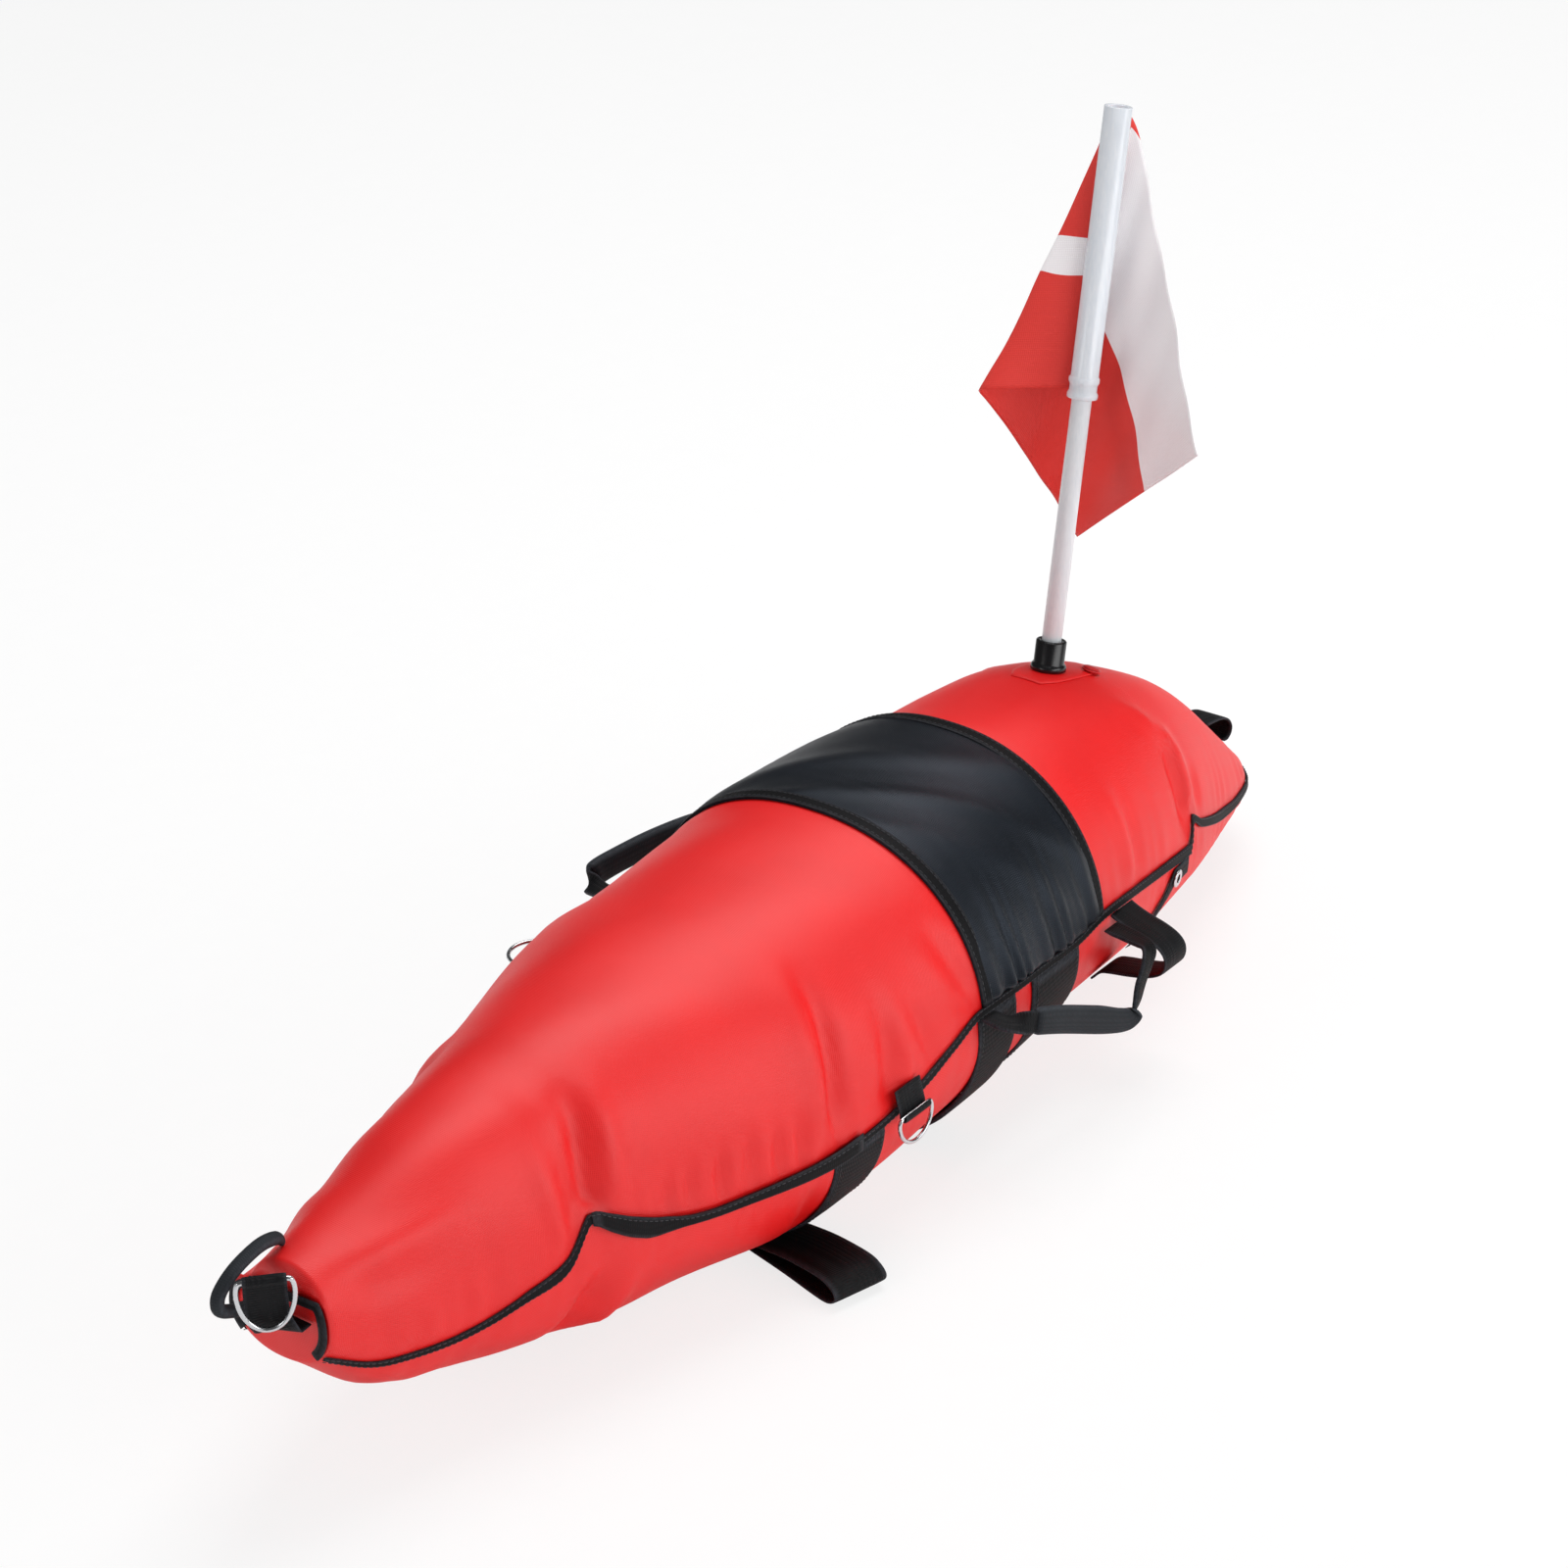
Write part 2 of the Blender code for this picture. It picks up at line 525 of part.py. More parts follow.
BOW_WIRE = 0.0016
BOW_RING_HALF, BOW_RING_DEEP = 0.0148, 0.029
BOW_RING_AT = Vector((-0.4205, -0.0160, 0.152))
BOW_RING_FLAT = Vector((-0.717, 0.697, 0)).normalized()
BOW_RING_BACK = Vector((0.697, 0.717, 0)).normalized()
BOW_TAB_WIDE = 0.021
BOW_CURL = BOW_WIRE + GAP + TAB_THICK / 2
BOW_TAB_PATH = [(-0.3978, -0.0125, 0.1165), (-0.4065, -0.0125, 0.1158), (-0.4125, -0.0145, 0.1190), (-0.4170, -0.0130, 0.128)]
BOW_TAB_SIDES = [(0, 1, 0), (-0.12, 1, 0), (-0.55, 0.85, 0), (-0.717, 0.697, 0)]
down = Vector((0, 0, -1))
tab_path = [Vector(p) for p in BOW_TAB_PATH] + curl_points(BOW_RING_AT, BOW_RING_BACK, down, BOW_CURL, 30, -215, 12)
tab_sides = [Vector(s) for s in BOW_TAB_SIDES] + [BOW_RING_FLAT] * 13
ribbon("bow_ring_tab", tab_path, tab_sides, BOW_TAB_WIDE, TAB_THICK, WEBBING)
wire("bow_ring", ring_points(BOW_RING_AT, BOW_RING_FLAT, down, BOW_RING_HALF, BOW_RING_DEEP), BOW_WIRE, STEEL, True, 3)

# Bottom loops: the front one lies shut beside the belly, the rear one stands open at the side
LOOP_THICK = 0.0016
FRONT_LOOP_WIDE = 0.036
FRONT_LOOP = [(-0.0645, -0.058, 0.0008), (-0.0725, -0.087, 0.0008), (-0.082, -0.118, 0.0008), (-0.0852, -0.1285, 0.0030),
              (-0.0862, -0.1325, 0.0078), (-0.0852, -0.1285, 0.0124), (-0.082, -0.118, 0.0144), (-0.0745, -0.092, 0.0120),
              (-0.0680, -0.070, 0.0074), (-0.0645, -0.058, 0.0043)]
FRONT_SIDE = Vector((0.965, -0.262, 0))
ribbon("bottom_loop_front", [Vector(p) for p in FRONT_LOOP], [FRONT_SIDE] * len(FRONT_LOOP), FRONT_LOOP_WIDE, LOOP_THICK, WEBBING)

REAR_LOOP_WIDE = 0.022
REAR_LOOP = [(0.212, -0.1068, 0.0872), (0.212, -0.115, 0.0885), (0.212, -0.127, 0.0870), (0.212, -0.1350, 0.0840),
             (0.212, -0.1395, 0.0790), (0.212, -0.1403, 0.0735), (0.212, -0.1370, 0.0685), (0.212, -0.128, 0.0640),
             (0.212, -0.115, 0.0600), (0.212, -0.1020, 0.0565), (0.212, -0.0985, 0.0555)]
ribbon("bottom_loop_rear", smooth_path([Vector(p) for p in REAR_LOOP], 2), [Vector((1, 0, 0))] * (2 * len(REAR_LOOP) - 1),
       REAR_LOOP_WIDE, LOOP_THICK, WEBBING)

# Rear side strips with an eyelet, one each side, running down from the seam towards the loop
STRIP_X = [0.260, 0.28, 0.30, 0.32, 0.34]
STRIP_TOP_SHARES = [0.36, 0.27, 0.18, 0.09, 0.005]
STRIP_WIDE = 0.011
STRIP_THICK = 0.0012


def strip_angles(far):
    def angles(x):
        i = STRIP_X.index(x)
        high = seam(x) - wide_deg(x, BAND_MARGIN) - 90 * STRIP_TOP_SHARES[i]
        low = high - wide_deg(x, STRIP_WIDE)
        spots = [low, (low + high) / 2, high]
        return [-180 - a for a in spots[::-1]] if far else spots
    return angles


panel("side_strip_near", STRIP_X, strip_angles(False), GAP * 2, STRIP_THICK, WEBBING)
panel("side_strip_far", STRIP_X, strip_angles(True), GAP * 2, STRIP_THICK, WEBBING)

EYELET_RADIUS, EYELET_HOLE, EYELET_THICK = 0.0046, 0.0022, 0.0010


def facing(x, angle, lift):
    """Matrix whose Z points away from the hull."""
    spot = skin(x, angle, lift)
    along = skin(x + HEM_WIDE / 2, angle, lift) - skin(x - HEM_WIDE / 2, angle, lift)
    across = skin(x, angle + 2, lift) - skin(x, angle - 2, lift)
    z = along.cross(across).normalized()
    if z.dot(Vector((0, outward(x, angle).x, outward(x, angle).y))) < 0:
        z = -z
    across = z.cross(along.normalized()).normalized()
    made = Matrix((along.normalized(), across, z)).transposed().to_4x4()
    made.translation = spot
    return made


EYELET_X = 0.30
eyelet_deg = seam(EYELET_X) - wide_deg(EYELET_X, BAND_MARGIN) - 90 * STRIP_TOP_SHARES[2] - wide_deg(EYELET_X, STRIP_WIDE) / 2
EYELET_LIFT = 2 * GAP + STRIP_THICK + GAP * 2
EYELET = [(EYELET_HOLE, EYELET_THICK), (EYELET_RADIUS - EYELET_THICK / 2, EYELET_THICK), (EYELET_RADIUS, EYELET_THICK / 2),
          (EYELET_RADIUS, 0), (EYELET_HOLE, 0)]
turned("eyelet_near", EYELET, 20, STEEL, facing(EYELET_X, eyelet_deg, EYELET_LIFT))
turned("eyelet_far", EYELET, 20, STEEL, facing(EYELET_X, -180 - eyelet_deg, EYELET_LIFT))

# Tail: webbing tab on top of the stern, binding round the tail edge
TAIL_TAB_THICK, TAIL_TAB_WIDE = 0.0016, 0.022
TAIL_TAB = [(0.4425, 0, 0.0896), (0.4500, 0, 0.0892), (0.4590, 0, 0.0875), (0.4660, 0, 0.0840), (0.4695, 0, 0.0785),
            (0.4685, 0, 0.0740), (0.4650, 0, 0.0716), (0.4615, 0, 0.0718)]
ribbon("stern_tab", [Vector(p) for p in TAIL_TAB], [Vector((0, 1, 0))] * len(TAIL_TAB), TAIL_TAB_WIDE, TAIL_TAB_THICK, WEBBING)

TAIL_TAPE_HALF, TAIL_TAPE_THICK = 0.0030, 0.0014
TAIL_TAPE = [(0.4866, -0.0055, 0.0420), (0.4868, 0, 0.0420), (0.4866, 0.0055, 0.0420)]
ribbon("tail_binding", [Vector(p) for p in TAIL_TAPE], [Vector((0, 0, 1))] * 3, 2 * TAIL_TAPE_HALF, TAIL_TAPE_THICK, BLACK_TAPE)

# Bladder: thin film under the covers, open at the valve hole
BLADDER_LIFT, BLADDER_THICK = -0.0045, 0.0008
BLADDER_ROWS = [-0.361, -0.331, -0.28, -0.235, -0.165, -0.105, -0.034, 0.042, 0.105, 0.18, 0.235, 0.28, 0.32, 0.365, 0.41, 0.43]
BLADDER_COLUMNS = 16
BLADDER_END = 0.006
CAP_SHARE = 0.25


def bladder_rings(lift):
    made = []
    for x in BLADDER_ROWS:
        made.append([skin(x, 360 * k / BLADDER_COLUMNS, lift) for k in range(BLADDER_COLUMNS)])

    def shrink(ring, shift, share):
        middle = sum(ring, Vector()) / len(ring)
        return [Vector((p.x + shift, *(middle + (p - middle) * share).yz)) for p in ring]
    end = BLADDER_END + lift - BLADDER_LIFT
    return ([shrink(made[0], -end, CAP_SHARE), shrink(made[0], -end / 2, (1 + CAP_SHARE) / 2 + CAP_SHARE / 2)] + made
            + [shrink(made[-1], end / 2, (1 + CAP_SHARE) / 2 + CAP_SHARE / 2), shrink(made[-1], end, CAP_SHARE)])


outer_rings, inner_rings = bladder_rings(BLADDER_LIFT), bladder_rings(BLADDER_LIFT - BLADDER_THICK)
ring_count = len(outer_rings)
verts = [p for ring in outer_rings for p in ring] + [p for ring in inner_rings for p in ring]
base = ring_count * BLADDER_COLUMNS
faces = grid_faces(ring_count, BLADDER_COLUMNS, True, ring=True) + grid_faces(ring_count, BLADDER_COLUMNS, False, base, ring=True)
first = list(range(BLADDER_COLUMNS))
final = [(ring_count - 1) * BLADDER_COLUMNS + k for k in first]
faces += [tuple(first), tuple(final[::-1]), tuple(k + base for k in first[::-1]), tuple(k + base for k in final)]
bladder = mesh_piece("bladder", verts, faces, BLADDER_FILM)

# Valve: a welded tube up through the cover beside the mast, shut by a push cap
VALVE_X, VALVE_DEG = 0.316, 82.5
VALVE_RADIUS, VALVE_HOLE, VALVE_FLANGE = 0.0040, 0.0025, 0.0062
VALVE_RIM = 0.0058
VALVE_DEPTH = 0.0085
VALVE_CUT = VALVE_RADIUS + GAP
PATCH_LIFT, PATCH_THICK = GAP, 0.0008
VALVE_TOP = PATCH_LIFT + PATCH_THICK + GAP * 2
VALVE_RIM_THICK = 0.0009
valve_matrix = facing(VALVE_X, VALVE_DEG, 0.0)
valve_profile = [(VALVE_HOLE, VALVE_TOP + VALVE_RIM_THICK), (VALVE_RIM, VALVE_TOP + VALVE_RIM_THICK), (VALVE_RIM, VALVE_TOP),
                 (VALVE_RADIUS, VALVE_TOP), (VALVE_RADIUS, -VALVE_DEPTH), (VALVE_HOLE, -VALVE_DEPTH)]
turned("inflation_valve", valve_profile, 24, VALVE_PLASTIC, valve_matrix)
CAP_RADIUS, CAP_THICK, PLUG_RADIUS, PLUG_DEPTH = 0.0050, 0.0010, 0.0022, 0.006
cap_bottom = VALVE_TOP + VALVE_RIM_THICK + GAP
cap_profile = [(0, cap_bottom + CAP_THICK), (CAP_RADIUS, cap_bottom + CAP_THICK), (CAP_RADIUS, cap_bottom),
               (PLUG_RADIUS, cap_bottom), (PLUG_RADIUS, cap_bottom - PLUG_DEPTH), (0, cap_bottom - PLUG_DEPTH)]
turned("valve_cap", cap_profile, 24, VALVE_PLASTIC, valve_matrix)
CUT_REACH = 0.012
CUT_SIDES = 24


def drill(target, number):
    """Hole for the valve through one layer."""
    ring = [(VALVE_CUT * math.cos(math.tau * k / CUT_SIDES), VALVE_CUT * math.sin(math.tau * k / CUT_SIDES))
            for k in range(CUT_SIDES)]
    data = bpy.data.meshes.new("valve_cutter_%d" % number)
    points = [valve_matrix @ Vector((*spot, height)) for height in (-CUT_REACH, CUT_REACH) for spot in ring]
    ends = [tuple(range(CUT_SIDES))[::-1], tuple(range(CUT_SIDES, 2 * CUT_SIDES))]
    data.from_pydata(points, [], ends + grid_faces(2, CUT_SIDES, ring=True))
    data.update()
    cut(target, place(data.name, data, None, False, CUTTERS))


drill(bladder, 0)

# Socket patch under the mast socket and the valve
PATCH_X = [0.268, 0.28, 0.295, 0.310, 0.322, 0.334]
PATCH_HALF_SHARES = [0.55, 0.9, 1.0, 0.95, 0.85, 0.45]
PATCH_HALF = 0.015


def patch_angles(x):
    half = wide_deg(x, PATCH_HALF) * PATCH_HALF_SHARES[PATCH_X.index(x)]
    return [90 - half + 2 * half * k / 6 for k in range(7)]


patch = panel("socket_patch", PATCH_X, patch_angles, PATCH_LIFT, PATCH_THICK, RED_NYLON)
drill(patch, 1)

# Mast: rubber socket, plastic tube, and the wider sleeve that carries the flag
MAST_LEAN_DEG = 13.9
MAST_FOOT = Vector((0.2915, 0, 0.1865))
MAST_RADIUS, MAST_BORE = 0.0059, 0.0043
SOCKET_TALL, SOCKET_RADIUS = 0.0178, 0.0089
FLANGE_TALL, FLANGE_RADIUS = 0.0035, 0.0106
SOCKET_FLOOR = 0.0030
SLEEVE_LOW, SLEEVE_TOP, SLEEVE_RADIUS = 0.1605, 0.3320, 0.0076
COLLAR_TOP, COLLAR_RADIUS = 0.1735, 0.0088
COLLAR_EASE = 0.0015
MAST_TOP = 0.326
mast_matrix = Matrix.Translation(MAST_FOOT) @ Matrix.Rotation(math.radians(MAST_LEAN_DEG), 4, "Y")
socket_bore = MAST_RADIUS + GAP
turned("mast_socket", [(0, SOCKET_FLOOR), (socket_bore, SOCKET_FLOOR), (socket_bore, SOCKET_TALL),
                       (SOCKET_RADIUS, SOCKET_TALL), (SOCKET_RADIUS, FLANGE_TALL),
                       (FLANGE_RADIUS, FLANGE_TALL - COLLAR_EASE), (FLANGE_RADIUS, 0), (0, 0)],
       28, RUBBER, mast_matrix)
mast_low = SOCKET_FLOOR + GAP
turned("mast", [(MAST_BORE, MAST_TOP), (MAST_RADIUS, MAST_TOP), (MAST_RADIUS, mast_low), (MAST_BORE, mast_low)],
       24, WHITE_PLASTIC, mast_matrix)
sleeve_bore = MAST_RADIUS + GAP
turned("flag_sleeve", [(sleeve_bore, SLEEVE_TOP), (SLEEVE_RADIUS, SLEEVE_TOP), (SLEEVE_RADIUS, COLLAR_TOP),
                       (COLLAR_RADIUS, COLLAR_TOP - COLLAR_EASE), (COLLAR_RADIUS, SLEEVE_LOW), (sleeve_bore, SLEEVE_LOW)],
       28, CLEAR_PLASTIC, mast_matrix)

# Flag: red cloth with a white band, hanging slack in one wide fold behind the sleeve
FLAG_THICK = 0.0005
FLAG_OFF = SLEEVE_RADIUS + GAP + FLAG_THICK
HOIST_TOP, HOIST_LOW = 0.3285, 0.1765
FOLD_TOP = Vector((0.3800, 0.0060, 0.5030))
FOLD_LOW = Vector((0.2965, 0.0525, 0.3520))
FLY_TOP = Vector((0.3365, -0.0760, 0.3247))
FLY_LOW = Vector((0.3797, 0.0381, 0.2280))
FLAG_PUSH = Vector((0.0135, 0.0020, 0))
PUSH_FADE = 0.6
FLAG_ROWS = 12
FRONT_SHARES = [0, 0.3, 0.6, 0.88]
BACK_SHARES = [0, 0.03, 0.08, 0.16, 0.28, 0.42, 0.56, 0.70, 0.85, 1.0]
FOLD_PASSES = 2


def flag_point(down_share, front, share):
    hoist = mast_matrix @ Vector((0, FLAG_OFF, HOIST_TOP + (HOIST_LOW - HOIST_TOP) * down_share))
    fold = FOLD_TOP.lerp(FOLD_LOW, down_share)
    if front:
        return hoist.lerp(fold, share)
    fly = FLY_TOP.lerp(FLY_LOW, down_share)
    push = FLAG_PUSH * (1 - PUSH_FADE * down_share) * math.sin(math.pi * share ** 0.5)
    return fold.lerp(fly, share) + push


flag_grid = []
for i in range(FLAG_ROWS + 1):
    v = i / FLAG_ROWS
    row = [flag_point(v, True, s) for s in FRONT_SHARES] + [flag_point(v, False, s) for s in BACK_SHARES]
    for turn in range(FOLD_PASSES):
        row = [row[0]] + [(row[k - 1] + row[k] * 2 + row[k + 1]) / 4 for k in range(1, len(row) - 1)] + [row[-1]]
    flag_grid.append(row)
flag_columns = len(flag_grid[0])
flag = mesh_piece("flag", [p for row in flag_grid for p in row], grid_faces(FLAG_ROWS + 1, flag_columns), FLAG_CLOTH)
flag_body = flag.modifiers.new("cloth", "SOLIDIFY")
flag_body.thickness = FLAG_THICK
flag_body.offset = 0
flag_body.use_even_offset = False


# Origins of the pieces that turn, each on its own axis
def pivot(name, spot):
    piece = bpy.data.objects[name]
    piece.data.transform(Matrix.Translation(-spot))
    piece.location = spot


pivot("flag", MAST_FOOT)
for side, points in (("near", NEAR_HANDLE), ("far", FAR_HANDLE)):
    pivot("side_handle_" + side, Vector(points[0]))
    pivot("handle_grip_" + side, Vector(points[0]))
pivot("side_ring_near", Vector((SIDE_RING_X, *NEAR_RING_AT)))
pivot("side_ring_far", Vector((SIDE_RING_X, *FAR_RING_AT)))
pivot("bow_ring", BOW_RING_AT)
pivot("bow_handle", Vector(BOW_HANDLE[0]))
pivot("bottom_loop_front", Vector(FRONT_LOOP[-1]))

# Frame: the origin lies under the middle of the front belly strap, which the float rests on
ORIGIN = Vector((FRONT_STRAP_X[1], 0, 0))
bpy.context.view_layer.update()
for piece in list(FLOAT.objects) + list(CUTTERS.objects):
    piece.matrix_world = Matrix.Translation(-ORIGIN) @ piece.matrix_world
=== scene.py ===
# Dive flag float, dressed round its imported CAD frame. Metres, +Z up, bow towards -X.
import math

import bpy
import numpy as np
from mathutils import Matrix, Vector


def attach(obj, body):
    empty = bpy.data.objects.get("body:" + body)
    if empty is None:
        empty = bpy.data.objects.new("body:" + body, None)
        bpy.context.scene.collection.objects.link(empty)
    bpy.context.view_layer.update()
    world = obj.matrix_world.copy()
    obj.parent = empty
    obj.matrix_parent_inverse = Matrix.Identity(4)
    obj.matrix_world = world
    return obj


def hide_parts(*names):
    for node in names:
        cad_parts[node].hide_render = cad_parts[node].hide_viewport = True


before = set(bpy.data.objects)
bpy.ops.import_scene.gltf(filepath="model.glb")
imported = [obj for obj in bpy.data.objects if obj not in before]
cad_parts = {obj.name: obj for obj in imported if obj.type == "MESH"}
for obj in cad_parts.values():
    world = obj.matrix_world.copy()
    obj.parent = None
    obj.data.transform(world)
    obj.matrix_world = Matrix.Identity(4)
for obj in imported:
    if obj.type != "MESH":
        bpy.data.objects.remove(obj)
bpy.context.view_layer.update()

# Studio: the float lies on a pale floor under large soft lamps, seen from above its bow.
# The lens and the camera's place are the photograph's. The floor turns white for the
# camera, and keeps part of the soft shadow under the body.


def linear(code):
    """An sRGB hex colour as linear RGBA."""
    parts = [int(code[i:i + 2], 16) / 255 for i in (0, 2, 4)]
    return (*[v / 12.92 if v <= 0.04045 else ((v + 0.055) / 1.055) ** 2.4 for v in parts], 1.0)


def put(name, data):
    """An object in the scene, with its data."""
    made = bpy.data.objects.new(name, data)
    bpy.context.scene.collection.objects.link(made)
    return made


def add(tree, kind, inputs=None, **settings):
    """A node with its settings; each input takes a value, a socket, or a node for its first output."""
    made = tree.nodes.new(kind)
    for name, value in settings.items():
        setattr(made, name, value)
    for socket, value in (inputs or {}).items():
        if isinstance(value, bpy.types.Node):
            value = value.outputs[0]
        if isinstance(value, bpy.types.NodeSocket):
            tree.links.new(value, made.inputs[socket])
        else:
            made.inputs[socket].default_value = value
    return made


LENS_MM, SENSOR_MM = 121.05, 36.0
CAMERA_AT = Vector((-1.9353, -1.5902, 1.5778))
CAMERA_RIGHT = Vector((0.60064, -0.79855, -0.03938)).normalized()
CAMERA_BACK = Vector((-0.69616, -0.54658, 0.46541)).normalized()
camera_up = CAMERA_BACK.cross(CAMERA_RIGHT).normalized()
camera = put("camera", bpy.data.cameras.new("camera"))
camera.data.lens, camera.data.sensor_width = LENS_MM, SENSOR_MM
camera.data.clip_start, camera.data.clip_end = 0.05, 50.0
camera.matrix_world = Matrix.Translation(CAMERA_AT) @ Matrix(
    (camera_up.cross(CAMERA_BACK), camera_up, CAMERA_BACK)).transposed().to_4x4()
bpy.context.scene.camera = camera
bpy.context.scene.view_settings.view_transform = "Standard"

LAMPS_AIM = Vector((0.05, 0, 0.1))
# Each lamp has its place in metres, its width and height, and its power in watts.
LAMPS = [
    ("overhead_softbox", (0.95, 0.1, 2.2), 1.5, 1.5, 32.0),
    ("side_softbox", (0.5, -2.7, 1.1), 3.2, 1.2, 40.0),
    ("bow_softbox", (-2.5, 0.6, 1.3), 1.0, 1.0, 9.0),
]
for lamp_name, place, width, height, power in LAMPS:
    light = bpy.data.lights.new(lamp_name, "AREA")
    light.shape, light.size, light.size_y, light.energy = "RECTANGLE", width, height, power
    lamp = put(lamp_name, light)
    lamp.location = place
    lamp.rotation_euler = (LAMPS_AIM - Vector(place)).to_track_quat("-Z", "Y").to_euler()

AMBIENT, WALLS_IN_GLOSS, BACKDROP, FLOOR_GLOW = 0.42, 0.08, 1.0, 0.78
room = bpy.data.worlds.new("studio_room")
room.use_nodes = True
bpy.context.scene.world = room
tree = room.node_tree
tree.nodes.clear()
path = add(tree, "ShaderNodeLightPath")
seen = add(tree, "ShaderNodeMath", {0: path.outputs["Is Camera Ray"], 1: path.outputs["Is Transmission Ray"]},
           operation="MAXIMUM")
ambient, dim_walls, backdrop = [
    add(tree, "ShaderNodeBackground", {"Color": linear("FFFFFF"), "Strength": strength})
    for strength in (AMBIENT, WALLS_IN_GLOSS, BACKDROP)]
lit = add(tree, "ShaderNodeMixShader", {0: path.outputs["Is Glossy Ray"], 1: ambient, 2: dim_walls})
both = add(tree, "ShaderNodeMixShader", {0: seen, 1: lit, 2: backdrop})
add(tree, "ShaderNodeOutputWorld", {"Surface": both})

FLOOR_HALF, FLOOR_HEIGHT = 9.0, -0.0003
floor_data = bpy.data.meshes.new("studio_floor")
floor_data.from_pydata([(a * FLOOR_HALF, b * FLOOR_HALF, FLOOR_HEIGHT)
                        for a, b in ((-1, -1), (1, -1), (1, 1), (-1, 1))], [], [(0, 1, 2, 3)])
floor = put("studio_floor", floor_data)
paper = bpy.data.materials.new("matt_paper_sweep")
paper.use_nodes = True
tree = paper.node_tree
tree.nodes.clear()
grain = add(tree, "ShaderNodeTexNoise", {"Scale": 900.0, "Detail": 2.0})
tint = add(tree, "ShaderNodeMix", {0: grain, 6: linear("F6F6F6"), 7: linear("FCFCFC")}, data_type="RGBA")
matt = add(tree, "ShaderNodeBsdfDiffuse", {"Color": tint.outputs[2]})
glow = add(tree, "ShaderNodeEmission", {"Color": linear("FFFFFF"), "Strength": 1.0})
path = add(tree, "ShaderNodeLightPath")
share = add(tree, "ShaderNodeMath", {0: path.outputs["Is Camera Ray"], 1: FLOOR_GLOW}, operation="MULTIPLY")
both = add(tree, "ShaderNodeMixShader", {0: share, 1: matt, 2: glow})
add(tree, "ShaderNodeOutputMaterial", {"Surface": both})
floor_data.materials.append(paper)

# Bladder: the welded film bag inside the covers that holds the air. It is hidden, and only
# its valve comes out through the top. The stations of the hull are measured from a point
# that lies AFT behind the frame's origin, so every mesh is moved by that.
AFT = 0.055
# Stations along the body with its half width and the heights of its widest line, top and belly.
HULL_X = [-0.395, -0.36, -0.28, -0.18, -0.06, 0.06, 0.18, 0.27, 0.30, 0.34, 0.39, 0.43, 0.46, 0.475, 0.484]
HULL_HALF = [0.034, 0.043, 0.061, 0.086, 0.112, 0.115, 0.107, 0.093, 0.087, 0.076, 0.058, 0.0435, 0.030,
             0.018, 0.008]
HULL_MID = [0.115, 0.098, 0.083, 0.085, 0.082, 0.090, 0.090, 0.083, 0.080, 0.072, 0.060, 0.050, 0.044, 0.042,
            0.042]
HULL_TOP = [0.146, 0.152, 0.173, 0.187, 0.192, 0.197, 0.195, 0.189, 0.183, 0.167, 0.136, 0.100, 0.071, 0.058,
            0.048]
HULL_LOW = [0.086, 0.058, 0.028, 0.009, -0.001, -0.001, 0.003, 0.007, 0.009, 0.011, 0.014, 0.019, 0.028,
            0.034, 0.037]
SEAM_X = [-0.395, -0.379, -0.361, -0.331, -0.304, -0.28, -0.262, -0.25, -0.243, -0.235, -0.223, -0.211,
          -0.193, -0.15, -0.1, -0.04, 0.0, 0.03, 0.056, 0.116, 0.161, 0.190, 0.225, 0.27, 0.314, 0.318, 0.322,
          0.336, 0.352, 0.38, 0.42, 0.484]
SEAM_DEG = [-40, -34, -26, -17, -8, -2, 0, 3, 8, 13, 9, 5, 1, -3, -3, -2, 0, 3, 6, 5, 3.6, 4.4, 3.6, 2.3, 1,
            4, 10, 6.5, 4.5, 2, 0.5, 2]
SECTION_POWER = 2.2
KEEL_HEIGHT = 0.002
# The blown body isn't quite even: how far it is drawn in along its far shoulder and its near bilge.
DRAWN_X = [-0.395, -0.36, -0.33, -0.30, -0.27, -0.21, -0.15, -0.09, -0.03, 0.03, 0.06, 0.10, 0.15, 0.18, 0.21,
           0.24, 0.28, 0.36, 0.40, 0.484]
FAR_SHOULDER = [0.010, 0.008, 0.0065, 0.0045, 0.006, 0.0063, 0.0028, 0.0, 0.002, 0.002, -0.0005, -0.003,
                -0.002, 0.0, 0.004, 0.002, 0, 0, 0, 0]
NEAR_BILGE = [0, 0, 0.001, 0.0005, -0.001, -0.0005, 0.002, 0.0008, 0.002, 0.0048, 0.0056, 0.0062, 0.0068,
              0.0074, 0.0056, 0.0042, 0.0032, 0.0024, 0.0024, 0]
SHOULDER_DEG, SHOULDER_SPREAD, BILGE_DEG, BILGE_SPREAD = 136, 32, -38, 26
BOW, STERN = -0.395, 0.484
FINE = 1e-12


def ease(at, places, values):
    """Smooth curve through a table, without overshoot."""
    p, v = np.array(places, float), np.array(values, float)
    rise = np.diff(v) / np.diff(p)
    slope = np.zeros(len(v))
    slope[0] = rise[0]
    same = rise[:-1] * rise[1:] > 0
    slope[1:-1][same] = (2 * rise[:-1] * rise[1:])[same] / (rise[:-1] + rise[1:])[same]
    at = np.clip(at, p[0], p[-1])
    k = np.clip(np.searchsorted(p, at, side="right") - 1, 0, len(p) - 2)
    span = p[k + 1] - p[k]
    t = (at - p[k]) / span
    return (v[k] * (1 + 2 * t) * (1 - t) ** 2 + v[k + 1] * t * t * (3 - 2 * t)
            + span * (slope[k] * t * (1 - t) ** 2 - slope[k + 1] * t * t * (1 - t)))


def seam(x):
    """Angle of the side seam at a station, in degrees above the body's widest line."""
    return ease(x, SEAM_X, SEAM_DEG)


def wide_deg(x, length):
    """Angle that a length takes up round the hull near the seam."""
    return np.degrees(length / ease(x, HULL_X, HULL_HALF))


